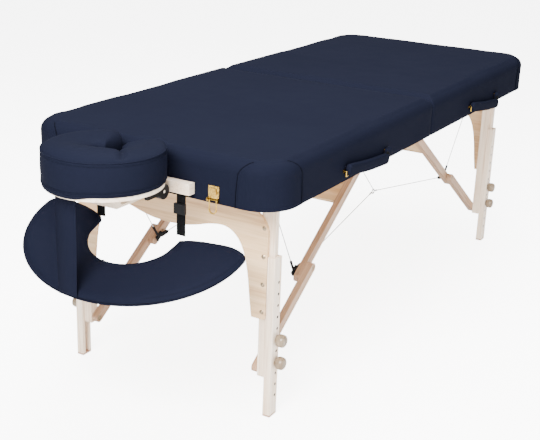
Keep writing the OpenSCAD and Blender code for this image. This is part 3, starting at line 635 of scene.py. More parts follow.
@dataclass(frozen=True)
class StudioPaper(Finish):
    """Seamless background paper: almost white, matte, lit up as in the photo, with a trace of mottling."""

    dark: str = "#f6f6f6"
    light: str = "#fbfbfb"
    glow: float = 6.0

    def shade(self, tree: bpy.types.NodeTree, shader: bpy.types.Node) -> None:
        """A barely visible mottle in colour and height.

        Args:
            tree: the material's node tree.
            shader: its Principled shader.
        """
        where = add_node(tree, "ShaderNodeTexCoord")
        mottle = add_node(tree, "ShaderNodeTexNoise",
            inputs={"Vector": (where, "Object"), "Scale": 1.6, "Detail": 3.0})
        colour = ramp(tree, (mottle, "Fac"), [(0.35, linear(self.dark)), (0.65, linear(self.light))])
        tree.links.new(colour.outputs["Color"], shader.inputs["Base Color"])
        shader.inputs["Roughness"].default_value = 0.9
        shader.inputs["Emission Color"].default_value = linear("#ffffff")
        ray = add_node(tree, "ShaderNodeLightPath")
        lit = add_node(tree, "ShaderNodeMath", {"operation": "MULTIPLY"},
            {0: (ray, "Is Camera Ray"), 1: self.glow})
        tree.links.new(lit.outputs["Value"], shader.inputs["Emission Strength"])


LEG_WOOD = WashedWood("whitewashed_maple_upright", "wood", Grain.UPRIGHT)
EXTENSION_WOOD = BoredWood("whitewashed_maple_bored", "wood", Grain.UPRIGHT)
PANEL_WOOD = WashedWood("whitewashed_maple_across", "wood", Grain.ACROSS, pale="#d9b98f", middle="#ccaa7f",
    dark="#b38c62", fibre_mm=8.0, run_mm=260.0)
BOARD_WOOD = WashedWood("whitewashed_maple_along", "wood", Grain.ALONG)
# painted shade: the braces get darker copies of the pale maple, standing in for the shade under the table
HEAD_BRACE_SHADED_WOOD = WashedWood("whitewashed_maple_head_brace", "wood", Grain.HEAD_BRACE, pale="#b39275",
    middle="#a07e62", dark="#7f6149")
FOOT_BRACE_SHADED_WOOD = WashedWood("whitewashed_maple_foot_brace", "wood", Grain.FOOT_BRACE, pale="#b39275",
    middle="#a07e62", dark="#7f6149")
DECK_PLY = WashedWood("birch_ply_lacquered", "ply", Grain.ALONG, pale="#e9dcca", middle="#dcc9b1",
    dark="#c4ab8d", fibre_mm=9.0, run_mm=300.0)
CRADLE_PLY = WashedWood("birch_ply_cradle", "ply", Grain.ACROSS, pale="#efe4d4", middle="#e6d6c2",
    dark="#cdb79d", fibre_mm=7.0, run_mm=180.0)
KNOB_MAPLE = WashedWood("turned_knob_wood", "knob_wood", Grain.UPRIGHT, pale="#8d7c66", middle="#766650",
    dark="#54483b", fibre_mm=4.0, run_mm=40.0, rough=(0.3, 0.45))
NAVY = Vinyl("navy_upholstery_vinyl", "vinyl")
# painted shade: a darker copy of the navy vinyl for the seam beads, standing in for the shade in the seams
NAVY_SEAM_SHADE = Vinyl("navy_vinyl_seam", "vinyl", base="#090a11", deep="#07080e")
THREAD = Moulded("navy_polyester_thread", "vinyl", base="#0d0f18", light="#11141f", grit_mm=1.2,
    shine=0.004)
BRASS = Metal("brass_plated_steel", "brass")
BOLT = Metal("dull_nickel_plated_steel", "brass", bright="#9c8b73", worn="#4d4234", rough=(0.3, 0.5))
STEEL = Metal("bright_steel_wire", "steel", bright="#c9cbce", worn="#8d9095", rough=(0.22, 0.4))
NYLON = Moulded("black_moulded_nylon", "black_plastic")
TAN_RUBBER = Moulded("tan_rubber", "rubber", base="#9c7861", light="#b08e77", rough=(0.6, 0.8), shine=0.3)
STRAP = Webbing("black_polypropylene_webbing", "webbing")
PAPER = StudioPaper("studio_paper", "wood")


# Repeats by geometry nodes


class RepeatTree:
    """Builds the node trees that scatter small items, and turns their result into a plain mesh."""

    @staticmethod
    def group(name: str, sizes: Sequence[tuple[str, float]]) -> Group:
        """A new tree with a geometry input, named size inputs and a geometry output.

        Args:
            name: the tree's name.
            sizes: (name, value) of each size input, in metres or a count.

        Returns:
            The tree, its input node and its output node.
        """
        tree = bpy.data.node_groups.new(name, "GeometryNodeTree")
        tree.interface.new_socket("Geometry", in_out="INPUT", socket_type="NodeSocketGeometry")
        for label, value in sizes:
            socket = tree.interface.new_socket(label, in_out="INPUT", socket_type="NodeSocketFloat")
            socket.default_value = value
        tree.interface.new_socket("Finish", in_out="INPUT", socket_type="NodeSocketMaterial")
        tree.interface.new_socket("Geometry", in_out="OUTPUT", socket_type="NodeSocketGeometry")
        return tree, tree.nodes.new("NodeGroupInput"), tree.nodes.new("NodeGroupOutput")

    @staticmethod
    def end(tree: bpy.types.NodeTree, source: tuple, given: bpy.types.Node, out: bpy.types.Node) -> None:
        """Ends a tree in Realize Instances and Set Material.

        Args:
            tree: the tree to end.
            source: the (node, output name) pair of the scattered items.
            given: its input node.
            out: its output node.
        """
        real = add_node(tree, "GeometryNodeRealizeInstances", inputs={"Geometry": source})
        smooth = add_node(tree, "GeometryNodeSetShadeSmooth",
            inputs={"Geometry": (real, "Geometry"), "Shade Smooth": True})
        done = add_node(tree, "GeometryNodeSetMaterial",
            inputs={"Geometry": (smooth, "Geometry"), "Material": (given, "Finish")})
        tree.links.new(done.outputs["Geometry"], out.inputs["Geometry"])

    @classmethod
    def stitches(cls) -> bpy.types.NodeTree:
        """Short thread barrels along a line, lying along it, spaced by Pitch."""
        found = bpy.data.node_groups.get("stitch_row")
        if found:
            return found
        tree, given, out = cls.group("stitch_row",
            (("Pitch", 0.005), ("Length", 0.0034), ("Radius", 0.0005)))
        line = add_node(tree, "GeometryNodeMeshToCurve", inputs={"Mesh": (given, "Geometry")})
        even = add_node(tree, "GeometryNodeResampleCurve", {"mode": "LENGTH"},
            {"Curve": (line, "Curve"), "Length": (given, "Pitch")})
        barrel = add_node(tree, "GeometryNodeMeshCylinder",
            inputs={"Vertices": 6, "Radius": (given, "Radius"), "Depth": (given, "Length")})
        spots = add_node(tree, "GeometryNodeCurveToPoints", {"mode": "EVALUATED"},
            {"Curve": (even, "Curve")})
        rows = add_node(tree, "GeometryNodeInstanceOnPoints",
            inputs={"Points": (spots, "Points"), "Instance": (barrel, "Mesh"),
                "Rotation": (spots, "Rotation")})
        cls.end(tree, (rows, "Instances"), given, out)
        return tree

    @classmethod
    def screws(cls) -> bpy.types.NodeTree:
        """Domed screw heads on points, standing along the points' facing attribute."""
        found = bpy.data.node_groups.get("screw_heads")
        if found:
            return found
        tree, given, out = cls.group("screw_heads", (("Radius", 0.003), ("Height", 0.0012)))
        facing = add_node(tree, "GeometryNodeInputNamedAttribute", {"data_type": "FLOAT_VECTOR"},
            {"Name": "facing"})
        turn = add_node(tree, "FunctionNodeAlignRotationToVector", {"axis": "Z"},
            {"Vector": (facing, "Attribute")})
        ball = add_node(tree, "GeometryNodeMeshUVSphere",
            inputs={"Segments": 16, "Rings": 8, "Radius": 1.0})
        size = add_node(tree, "ShaderNodeCombineXYZ",
            inputs={"X": (given, "Radius"), "Y": (given, "Radius"), "Z": (given, "Height")})
        dome = add_node(tree, "GeometryNodeTransform",
            inputs={"Geometry": (ball, "Mesh"), "Scale": (size, "Vector")})
        heads = add_node(tree, "GeometryNodeInstanceOnPoints",
            inputs={"Points": (given, "Geometry"), "Instance": (dome, "Geometry"),
                "Rotation": (turn, "Rotation")})
        cls.end(tree, (heads, "Instances"), given, out)
        return tree

    @staticmethod
    def bake(name: str, carrier: bpy.types.Object, tree: bpy.types.NodeTree, values: dict[str, float],
        finish: Finish) -> bpy.types.Object:
        """Runs a tree on a carrier mesh and keeps the result as a plain mesh.

        Args:
            name: the new piece's name.
            carrier: the object that holds the points or the line; it is deleted.
            tree: the node tree.
            values: size inputs by name.
            finish: what the items are made of.

        Returns:
            The new piece.
        """
        ids = {item.name: item.identifier for item in tree.interface.items_tree if item.in_out == "INPUT"}
        modifier = carrier.modifiers.new("repeat", "NODES")
        modifier.node_group = tree
        for label, value in values.items():
            modifier[ids[label]] = value
        modifier[ids["Finish"]] = finish.material()
        bpy.context.view_layer.update()
        graph = bpy.context.evaluated_depsgraph_get()
        mesh = bpy.data.meshes.new_from_object(carrier.evaluated_get(graph))
        mesh.name = name
        piece = bpy.data.objects.new(name, mesh)
        bpy.context.scene.collection.objects.link(piece)
        bpy.data.objects.remove(carrier)
        finish.dress(piece)
        return piece


def stitch_row(name: str, lines: Sequence[Sequence[Vector]], pitch_mm: float = 5.0, radius_mm: float = 0.35,
    finish: Finish = THREAD) -> bpy.types.Object:
    """A row of stitches along each line.

    Args:
        name: the piece's name.
        lines: polylines in metres.
        pitch_mm: distance from stitch to stitch.
        radius_mm: thread radius; real thread is 0.25 mm, drawn thicker so that it shows.
        finish: the thread.

    Returns:
        The stitches as one mesh.
    """
    mesh = bpy.data.meshes.new(name + "_line")
    points, edges = [], []
    for line in lines:
        start = len(points)
        points += [tuple(p) for p in line]
        edges += [(start + i, start + i + 1) for i in range(len(line) - 1)]
    mesh.from_pydata(points, edges, [])
    carrier = bpy.data.objects.new(name + "_line", mesh)
    bpy.context.scene.collection.objects.link(carrier)
    return RepeatTree.bake(name, carrier, RepeatTree.stitches(),
        {"Pitch": pitch_mm * MM, "Length": 0.68 * pitch_mm * MM, "Radius": radius_mm * MM}, finish)


def screw_heads(name: str, spots: Sequence[tuple[Vector, Vector]], radius_mm: float, height_mm: float,
    finish: Finish) -> bpy.types.Object:
    """Domed screw heads at places that each face a direction.

    Args:
        name: the piece's name.
        spots: (place, facing) pairs in metres.
        radius_mm: head radius.
        height_mm: how far a head stands out.
        finish: the screws' metal.

    Returns:
        The heads as one mesh.
    """
    mesh = bpy.data.meshes.new(name + "_spots")
    mesh.from_pydata([tuple(p) for p, _ in spots], [], [])
    facing = mesh.attributes.new("facing", "FLOAT_VECTOR", "POINT")
    facing.data.foreach_set("vector", [c for _, f in spots for c in f.normalized()])
    carrier = bpy.data.objects.new(name + "_spots", mesh)
    bpy.context.scene.collection.objects.link(carrier)
    return RepeatTree.bake(name, carrier, RepeatTree.screws(),
        {"Radius": radius_mm * MM, "Height": height_mm * MM}, finish)


# Padding


@dataclass
class Padding:
    """Swells a padded form by a cloth simulation of its closed shape and carries it to the clean mesh."""

    voxel_mm: float = 6.0
    pressure: float = 4.0
    cap_mm: float = 6.0
    frames: int = 20
    stiff: float = 15.0
    near: int = 8  # how many simulated points carry one point of the clean mesh

    def swell(self, piece: bpy.types.Object, block: Optional[Shape] = None,
        keep: Optional[Callable[[np.ndarray], np.ndarray]] = None) -> None:
        """Moves the piece's points by the swell of a simulated copy.

        Args:
            piece: the clean mesh.
            block: points and faces of the closed form to simulate; the piece itself where it is left out.
            keep: gives each point's share of the swell from its place; all of it where left out.
        """
        start, move = self.inflate(piece, block)
        points = self.points(piece.data)
        shift = self.carry(points, start, move)
        normals = np.zeros(len(points) * 3, np.float32)
        piece.data.vertex_normals.foreach_get("vector", normals)
        normals = normals.reshape(-1, 3).astype(float)
        rise = np.clip((shift * normals).sum(1), 0.0, self.cap_mm * MM)
        if keep is not None:
            rise *= keep(points)
        swelled = (points + normals * rise[:, None]).astype(np.float32)
        piece.data.vertices.foreach_set("co", swelled.ravel())
        piece.data.update()
        LOG.info("%s swelled by up to %.1f mm", piece.name, 1000 * float(rise.max()))

    def inflate(self, piece: bpy.types.Object, block: Optional[Shape]) -> tuple[np.ndarray, np.ndarray]:
        """Blows up an evenly meshed copy as pressurised cloth.

        Args:
            piece: the clean mesh.
            block: points and faces to simulate in its place, or None.

        Returns:
            The copy's points before, and how far each of them moved.
        """
        if block is None:
            mesh = piece.data.copy()
        else:
            mesh = bpy.data.meshes.new("padding_copy")
            mesh.from_pydata([tuple(p) for p in block[0]], [], [tuple(f) for f in block[1]])
        copy = bpy.data.objects.new("padding_copy", mesh)
        bpy.context.scene.collection.objects.link(copy)
        face_out(copy)
        remesh = copy.modifiers.new("remesh", "REMESH")
        remesh.mode = "VOXEL"
        remesh.voxel_size = self.voxel_mm * MM
        graph = bpy.context.evaluated_depsgraph_get()
        dense = bpy.data.meshes.new_from_object(copy.evaluated_get(graph))
        copy.modifiers.clear()
        copy.data = dense
        start = self.points(copy.data)
        cloth = copy.modifiers.new("cloth", "CLOTH")
        cloth.settings.use_pressure = True
        cloth.settings.uniform_pressure_force = self.pressure
        cloth.settings.effector_weights.gravity = 0.0
        cloth.settings.quality = 5
        cloth.settings.tension_stiffness = self.stiff
        cloth.settings.compression_stiffness = self.stiff
        cloth.settings.bending_stiffness = 2.0
        cloth.point_cache.frame_start = 1
        cloth.point_cache.frame_end = self.frames
        scene = bpy.context.scene
        for frame in range(1, self.frames + 1):
            scene.frame_set(frame)
        graph = bpy.context.evaluated_depsgraph_get()
        move = self.points(copy.evaluated_get(graph).data) - start
        scene.frame_set(1)
        bpy.data.objects.remove(copy)
        return start, move

    def carry(self, points: np.ndarray, start: np.ndarray, move: np.ndarray) -> np.ndarray:
        """The shift of each point, as a weighted mean of its nearest simulated points' moves.

        Args:
            points: corners of the clean mesh.
            start: the simulated points before the swell.
            move: how far each of those moved.

        Returns:
            How far each corner moves.
        """
        tree = kdtree.KDTree(len(start))
        for i, p in enumerate(start):
            tree.insert(p, i)
        tree.balance()
        shift = np.zeros_like(points)
        for i, p in enumerate(points):
            near = tree.find_n(p, self.near)
            weights = np.array([1.0 / (d + 1e-4) for _, _, d in near])
            shift[i] = (move[[j for _, j, _ in near]] * weights[:, None]).sum(0) / weights.sum()
        return shift

    @staticmethod
    def points(mesh: bpy.types.Mesh) -> np.ndarray:
        """A mesh's corners as an array.

        Args:
            mesh: the mesh to read.

        Returns:
            One row of x, y and z for each corner.
        """
        out = np.zeros(len(mesh.vertices) * 3, np.float32)
        mesh.vertices.foreach_get("co", out)
        return out.reshape(-1, 3).astype(float)


class End(Enum):
    """The two halves of the table; the value is the sign of X."""

    HEAD = -1
    FOOT = 1

    @property
    def word(self) -> str:
        """The half's name in bodies and nodes."""
        return self.name.lower()


# The top


@dataclass
class PaddedTop:
    """One half of the padded top: a foam slab wrapped in one vinyl cover down to the frame's lower edge."""

    end: End
    half_l: float = 927.0
    half_w: float = 381.0
    top: float = 711.0
    low: float = 597.0  # the frame's lower edge
    mid: float = 1.5  # half the slot between the two covers
    corner_r: float = 90.0
    mid_r: float = 5.5
    roll: float = 30.0  # radius where the side rolls over into the top
    crown: float = 2.0
    proud: float = 0.8  # how far the cover stands off the solid
    socket_y: float = 111.0
    socket_z: float = 623.5
    socket_r: float = 8.3
    wall: float = 1.6
    pull: float = 0.7  # how far the stretched cover pulls in at half height
    stretched: float = 59.0  # above the lower edge, where the foam begins to swell the cover

    def outline(self, inset: float) -> list[tuple[float, float]]:
        """The half's outline drawn in by a distance, as (x, y) in mm with the head's signs.

        Args:
            inset: how far it is drawn in, in mm.

        Returns:
            Its points, from the slot along one side, round the end and back to the slot.
        """
        out: list[tuple[float, float]] = []
        x0, x1, y = -self.half_l + inset, -self.mid - inset, self.half_w - inset
        r, m = max(self.corner_r - inset, 12.0), max(self.mid_r - inset, 3.0)

        def arc(cx: float, cy: float, radius: float, start: float, n: int) -> None:
            """Adds a quarter turn.

            Args:
                cx, cy: its centre.
                radius: its radius.
                start: the angle it starts at, in degrees.
                n: how many steps it has.
            """
            for i in range(n + 1):
                a = math.radians(start + 90 * i / n)
                out.append((cx + radius * math.cos(a), cy + radius * math.sin(a)))

        def run(ax: float, ay: float, bx: float, by: float, n: int) -> None:
            """Adds the inner points of a straight side of n steps."""
            for i in range(1, n):
                out.append((ax + (bx - ax) * i / n, ay + (by - ay) * i / n))

        arc(x1 - m, y - m, m, 0, 3)
        run(x1 - m, y, x0 + r, y, 44)
        arc(x0 + r, y - r, r, 90, 14)
        run(x0, y - r, x0, r - y, 34)
        arc(x0 + r, r - y, r, 180, 14)
        run(x0 + r, -y, x1 - m, -y, 44)
        arc(x1 - m, m - y, m, 270, 3)
        run(x1, m - y, x1, y - m, 40)
        return out

    def spot(self, x: float, y: float, z: float) -> tuple[float, float, float]:
        """A place given with the head's signs, put on this half."""
        return tuple(at(x if self.end is End.HEAD else -x, y, z))

    def profile(self) -> list[tuple[float, float]]:
        """(inset, height) from the lower edge up to where the flat top begins."""
        out = [(0.4 - self.proud, self.low - 1.2), (-self.proud, self.low + 0.6)]
        side = self.top - self.crown - self.roll
        for i in range(1, 8):
            t = i / 7
            pull = self.pull * math.sin(math.pi * t)
            out.append((-self.proud + pull, self.low + 0.6 + (side - self.low - 0.6) * t))
        for i in range(1, 9):
            a = math.radians(90 * i / 8)
            out.append((-self.proud + (self.roll + self.proud) * (1 - math.cos(a)),
                side + self.roll * math.sin(a)))
        return out

    def rings(self) -> list[list[tuple[float, float, float]]]:
        """Rings of the cover from its lower edge to the middle of the top."""
        rings = [[self.spot(x, y, z) for x, y in self.outline(inset)] for inset, z in self.profile()]
        inset, z = self.profile()[-1]
        rim = self.outline(inset)
        cx, cy = -(self.half_l + self.mid) / 2, 0.0
        for i in range(1, 16):
            s = 1 - i / 16
            rings.append([self.spot(cx + (x - cx) * s, cy + (y - cy) * s, z + self.crown * (1 - s * s))
                for x, y in rim])
        return rings

    def build(self) -> bpy.types.Object:
        """Makes the cover, swelled as if by its foam, with its corner patches and their stitching."""
        word = self.end.word
        points, faces = loft(self.rings(), caps=False)
        n = len(self.outline(0))
        middle = sum((Vector(p) for p in points[-n:]), Vector()) / n
        points.append(tuple(middle + Vector((0, 0, 0.0001))))
        c, last = len(points) - 1, len(points) - 1 - n
        faces += [(c, last + i, last + (i + 1) % n) for i in range(n)]
        cover = mesh_piece(f"{word}_top_cover", points, faces, NAVY)
        self.turn_out(cover)
        block = loft(self.rings()[:1] + self.rings())
        foam = (self.low + self.stretched) * MM

        def keep(p: np.ndarray) -> np.ndarray:
            """The cover is stretched over the frame, so only the foam above swells, and not at the slot.

            Args:
                p: corners of the cover, in metres.

            Returns:
                Each corner's share of the swell.
            """
            up = np.clip((p[:, 2] - foam) / 0.03, 0, 1)
            slot = np.clip(np.abs(p[:, 0] - SHIFT[0] * MM) / 0.03, 0, 1)
            return up * slot

        Padding(voxel_mm=11.0, pressure=3.0, cap_mm=3.5).swell(cover, block, keep)
        self.thicken(cover)
        self.pierce(cover)
        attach(cover, f"{word}_half")
        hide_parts(f"{word}_pad", f"{word}_skirt")
        self.patches()
        return cover

    @staticmethod
    def turn_out(cover: bpy.types.Object) -> None:
        """Makes the open cover's faces point out.

        Args:
            cover: the cover's sheet.
        """
        work = bmesh.new()
        work.from_mesh(cover.data)
        bmesh.ops.recalc_face_normals(work, faces=work.faces)
        up = max(work.faces, key=lambda f: f.calc_center_median().z)
        if up.normal.z < 0:
            bmesh.ops.reverse_faces(work, faces=work.faces)
        work.to_mesh(cover.data)
        work.free()
        cover.data.update()

    def thicken(self, cover: bpy.types.Object) -> None:
        """Gives the cover its thickness, inwards.

        Args:
            cover: the cover's sheet.
        """
        solid = cover.modifiers.new("wall", "SOLIDIFY")
        solid.thickness = self.wall * MM
        solid.offset = -1
        apply_modifiers(cover)

    def pierce(self, cover: bpy.types.Object) -> None:
        """Opens the cover over the two dowel sockets.

        Args:
            cover: the thick cover.
        """
        for side in (-1, 1):
            cutter = mesh_piece("socket_cutter", *self.socket_plug(side), NAVY)
            face_out(cutter)
            cut = cover.modifiers.new("socket", "BOOLEAN")
            cut.operation = "DIFFERENCE"
            cut.solver = "EXACT"
            cut.object = cutter
            apply_modifiers(cover)
            bpy.data.objects.remove(cutter)
        cover.data.shade_smooth()

    def socket_plug(self, side: int) -> Shape:
        """Points and faces of the plug that cuts one dowel socket's mouth.

        Args:
            side: -1 for the near socket and 1 for the far one.

        Returns:
            The plug's closed shape.
        """
        rings = []
        turns = [2 * math.pi * k / 24 for k in range(24)]
        for x in (-self.half_l - 14, -self.half_l + 12):
            rings.append([self.spot(x, side * self.socket_y + self.socket_r * math.cos(a),
                self.socket_z + self.socket_r * math.sin(a)) for a in turns])
        return loft(rings)

    def patches(self) -> None:
        """The two sewn corner patches, their piping and their stitches."""
        word = self.end.word
        parts, lines, beads = [], [], []
        for side in (-1, 1):
            patch = CornerPatch(self, side)
            parts.append(patch.sheet())
            lines += patch.stitch_lines()
            beads.append(patch.seam())
        piece = mesh_piece(f"{word}_corner_patches", *merge_parts(parts), NAVY)
        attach(piece, f"{word}_half")
        bead = mesh_piece(f"{word}_corner_seams", *merge_parts([tube(b, 0.0011, 6) for b in beads]),
            NAVY_SEAM_SHADE)
        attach(bead, f"{word}_half")
        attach(stitch_row(f"{word}_corner_stitches", lines), f"{word}_half")


@dataclass
class CornerPatch:
    """A reinforcing patch of the same vinyl over a corner, from the lower edge to an arc on the top."""

    top: PaddedTop
    side: int
    back: float = 92.0
    along: float = 98.0
    over: float = 60.0  # how far onto the top one more whole profile would reach
    lift: float = 1.1
    cells: int = 30

    def surface(self, s: float, t: float, lift: float) -> Vector:
        """A point of the corner.

        Args:
            s: distance along the outline from the middle of the corner arc, in mm, positive along the side.
            t: share of the profile, 0 at the lower edge and 1 where the roll ends, above 1 on the top.
            lift: how far it stands off the cover, in mm.

        Returns:
            The point, in metres.
        """
        prof = self.top.profile()
        place = min(max(t, 0.0), 1.0) * (len(prof) - 1)
        i = min(int(place), len(prof) - 2)
        f = place - i
        inset = prof[i][0] * (1 - f) + prof[i + 1][0] * f
        z = prof[i][1] * (1 - f) + prof[i + 1][1] * f
        da, dz = prof[i + 1][0] - prof[i][0], prof[i + 1][1] - prof[i][1]
        size = math.hypot(da, dz)
        out, up = dz / size * lift, da / size * lift
        if t > 1:
            inset += (t - 1) * self.over
            out, up = 0.0, lift
        inset -= out
        z += up
        r = self.top.corner_r - inset
        quarter = math.pi / 4 * self.top.corner_r
        cx, cy = -self.top.half_l + self.top.corner_r, self.side * (self.top.half_w - self.top.corner_r)
        if abs(s) <= quarter:
            a = s / quarter * math.pi / 4
            x = cx - r * math.cos(math.pi / 4 + a)
            y = cy + self.side * r * math.sin(math.pi / 4 + a)
        elif s > 0:
            x, y = cx + (s - quarter), cy + self.side * r
        else:
            x, y = cx - r, cy - self.side * (-s - quarter)
        return Vector(self.top.spot(x, y, z))

    def height(self, s: float) -> float:
        """Where the patch's upper edge runs, as a share of the profile."""
        u = s / (self.along if s > 0 else self.back)
        return 0.25 + 0.90 * math.sqrt(max(0.0, 1 - abs(u) ** 1.5))

    def grid(self) -> list[list[tuple[float, float]]]:
        """(s, t) of each grid point."""
        rows = []
        for i in range(self.cells + 1):
            u = -1 + 2 * i / self.cells
            s = (self.along if u > 0 else self.back) * math.copysign(abs(u) ** 0.85, u)
            rows.append([(s, self.height(s) * k / 20) for k in range(21)])
        return rows

    def sheet(self) -> Shape:
        """Points and faces of the patch, its edge turned down to the cover."""
        rows = self.grid()
        rings = []
        for i, row in enumerate(rows):
            edge = i in (0, len(rows) - 1)
            line = [self.surface(s, t, 0.1 if edge else self.lift) for s, t in row]
            line.append(self.surface(row[-1][0], row[-1][1] + 0.012, 0.05))
            rings.append([tuple(p) for p in line])
        return loft(rings, closed=False, caps=False)

    def border(self, inset: float) -> list[Vector]:
        """The patch's sewn edge, up one side, over the top and down the other, drawn in by a share.

        Args:
            inset: the share it is drawn in by.

        Returns:
            Points along the edge.
        """
        rows = self.grid()
        k = 1 - inset
        left = [self.surface(rows[0][0][0] * k, t, self.lift) for _, t in rows[0]]
        over = [self.surface(row[-1][0] * k, row[-1][1] - inset * 0.8, self.lift) for row in rows]
        right = [self.surface(rows[-1][0][0] * k, t, self.lift) for _, t in reversed(rows[-1])]
        return resample(left + over[1:-1] + right, 0.006)

    def seam(self) -> list[Vector]:
        """The line of the patch's seam."""
        return self.border(0.0)

    def stitch_lines(self) -> list[list[Vector]]:
        """The stitch row that runs inside the seam."""
        return [self.border(0.06)]


# The face cradle


@dataclass
class FaceCushion:
    """The horseshoe face cushion: a tall boxed ring, its wall sewn to a crowned top."""

    centre_x: float = -1076.0
    outer: float = 145.0
    inner: float = 46.0
    base: float = 652.3  # the platform's upper face
    wall: float = 81.0
    crown: float = 5.0
    bulge: float = 25.0  # how far the top leans in over the face hole
    lip: float = 8.2  # how far the cover sags past the platform's edge
    heap: float = 11.0  # how much fuller the ring is near its front
    heap_deg: float = 196.0
    heap_spread: float = 62.0
    mouth_deg: float = 17.0  # half the gap between the horns
    crease_deg: float = 241.0
    stations: int = 120

    @property
    def half(self) -> float:
        """Half the width of the ring."""
        return (self.outer - self.inner) / 2

    def section(self) -> list[tuple[float, float, float, float]]:
        """The section as (across, height in mm, share of the bulge, share of the lip), outer wall first."""
        half = self.half
        out = [(1 - 9 / half, 0.0, 0.0, 0.0), (1 - 3.2 / half, 0.3, 0.0, 0.0),
            (1 - 2.7 / half, 0.6, 0.0, 0.6),
            (1 - 1.5 / half, 1.2, 0.0, 1.0), (1 - 0.3 / half, 3.0, 0.0, 0.95)]
        for i in range(1, 9):
            t = i / 9
            out.append((1 + 1.6 / half * math.sin(math.pi * t), 7.0 + (self.wall - 12.0) * t, 0.0,
                0.7 * (1 - t) ** 2))
        out += [(1 - 0.4 / half, self.wall - 3.0, 0.0, 0.0), (1 - 2.6 / half, self.wall, 0.0, 0.0)]
        for i in range(1, 13):
            t = i / 13
            rise = self.crown * math.sin(math.pi * t ** 0.8)
            out.append((1 - 2.6 / half - (1.86 - 2.6 / half) * t, self.wall + rise, t * t, 0.0))
        out += [(-0.95, self.wall - 6.0, 1.0, 0.0), (-1.0, self.wall - 16.0, 0.85, 0.0),
            (-1.0, self.wall - 32.0, 0.45, 0.0),
            (-1.0, 24.0, 0.1, 0.0), (-1.0, 8.0, 0.0, 0.0), (-0.96, 2.0, 0.0, 0.0), (-0.88, 0.0, 0.0, 0.0)]
        return out

    def overhang(self, deg: float) -> float:
        """How far the cover's lip sags past the platform's edge, in mm; it tucks up towards the horns.

        Args:
            deg: the angle round the ring.

        Returns:
            The sag, in mm.
        """
        rise = min(1.0, max(0.0, (deg - 35) / 30))
        fall = min(1.0, max(0.0, (212 - deg) / 26))
        return self.lip * rise * fall * fall * (3 - 2 * fall)

    def fold(self, deg: float, across: float, share: float) -> float:
        """How deep the cover is gathered at the crease where the near horn begins, in mm.

        Args:
            deg: the angle round the ring.
            across: place across the ring, 1 at the outer wall.
            share: the place's share of the bulge.

        Returns:
            The depth, in mm.
        """
        if across < -0.9 and share < 0.9:
            return 0.0
        off = (deg - self.crease_deg - 14.0 * (0.4 - across)) / 5.0
        return 8.0 * math.exp(-off * off) * min(1.0, max(0.0, (0.92 - across) / 0.25))

    def ring(self, deg: float, size: float,
        section: Sequence[tuple[float, float, float, float]]) -> list[tuple]:
        """The section at one angle, shrunk towards the horn's tip.

        Args:
            deg: the angle round the ring.
            size: how much of the full section there is.
            section: the section's points, as section() gives them.

        Returns:
            The ring's points, in metres.
        """
        mid, half = (self.outer + self.inner) / 2, self.half
        a = math.radians(deg)
        near_horn = 1 / (1 + math.exp(-(deg - self.crease_deg - 6) / 6))
        out = []
        for across, height, share, lip in section:
            r = mid + across * half * size - self.bulge * share * size * (1 - near_horn)
            top = min(1.0, height / self.wall)
            gather = top * self.fold(deg, across, share)
            z = self.base + height * (0.62 + 0.38 * size) - gather - lip * self.overhang(deg)
            if height >= self.wall - 0.01 and abs(across) < 1:
                dome = math.exp(-((deg - self.heap_deg) / self.heap_spread) ** 2)
                z += self.heap * dome * math.cos(across * math.pi / 2) ** 0.8
            out.append(tuple(at(self.centre_x + r * math.cos(a), r * math.sin(a), z)))
        return out

    def sizes(self) -> list[tuple[float, float]]:
        """(angle, size) of each station from one horn to the other."""
        sweep = 360 - 2 * self.mouth_deg
        cap = math.degrees(self.half / ((self.outer + self.inner) / 2)) * 0.55
        shares = [0.18, 0.42, 0.62, 0.78, 0.89, 0.96]
        ends = [(cap * (1 - math.sqrt(1 - k * k)), k) for k in shares]
        run = [(cap + (sweep - 2 * cap) * i / self.stations, 1.0) for i in range(self.stations + 1)]
        run = ends + run + [(sweep - d, k) for d, k in reversed(ends)]
        return [(self.mouth_deg + d, k) for d, k in run]

    def seam(self, across: float, height: float, lip: float = 0.0) -> list[Vector]:
        """A seam that follows the outer wall from horn to horn.

        Args:
            across: its place across the ring.
            height: its height above the base, in mm.
            lip: its share of the lip's sag.

        Returns:
            Points along the seam.
        """
        spot = [(across, height, 0.0, lip)]
        line = [Vector(self.ring(deg, k, spot)[0]) for deg, k in self.sizes() if k > 0.5]
        return resample(line, 0.006)

    def build(self) -> bpy.types.Object:
        """Makes the cushion with the two seams of its wall."""
        rings = [self.ring(deg, k, self.section()) for deg, k in self.sizes()]
        cushion = mesh_piece("face_cushion", *loft(rings), NAVY)
        face_out(cushion)
        base = self.base * MM
        Padding(voxel_mm=5.0, pressure=3.0, cap_mm=3.0).swell(cushion, None,
            lambda p: np.clip((p[:, 2] - base) / 0.03, 0.0, 1.0))
        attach(cushion, "face_rest")
        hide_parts("cradle_cushion")
        beads = [tube(self.seam(1.0 - 0.6 / self.half, self.wall - 1.0), 0.0016, 8),
            tube(self.seam(1.0 + 0.5 / self.half, 9.0, 0.66), 0.0013, 8)]
        piping = mesh_piece("face_cushion_piping", *merge_parts(beads), NAVY)
        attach(piping, "face_rest")
        lines = [self.seam(1.0 + 1.4 / self.half, self.wall - 8.0),
            self.seam(1.0 + 1.2 / self.half, 14.0, 0.56)]
        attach(stitch_row("face_cushion_stitches", lines, 4.5), "face_rest")
        return cushion


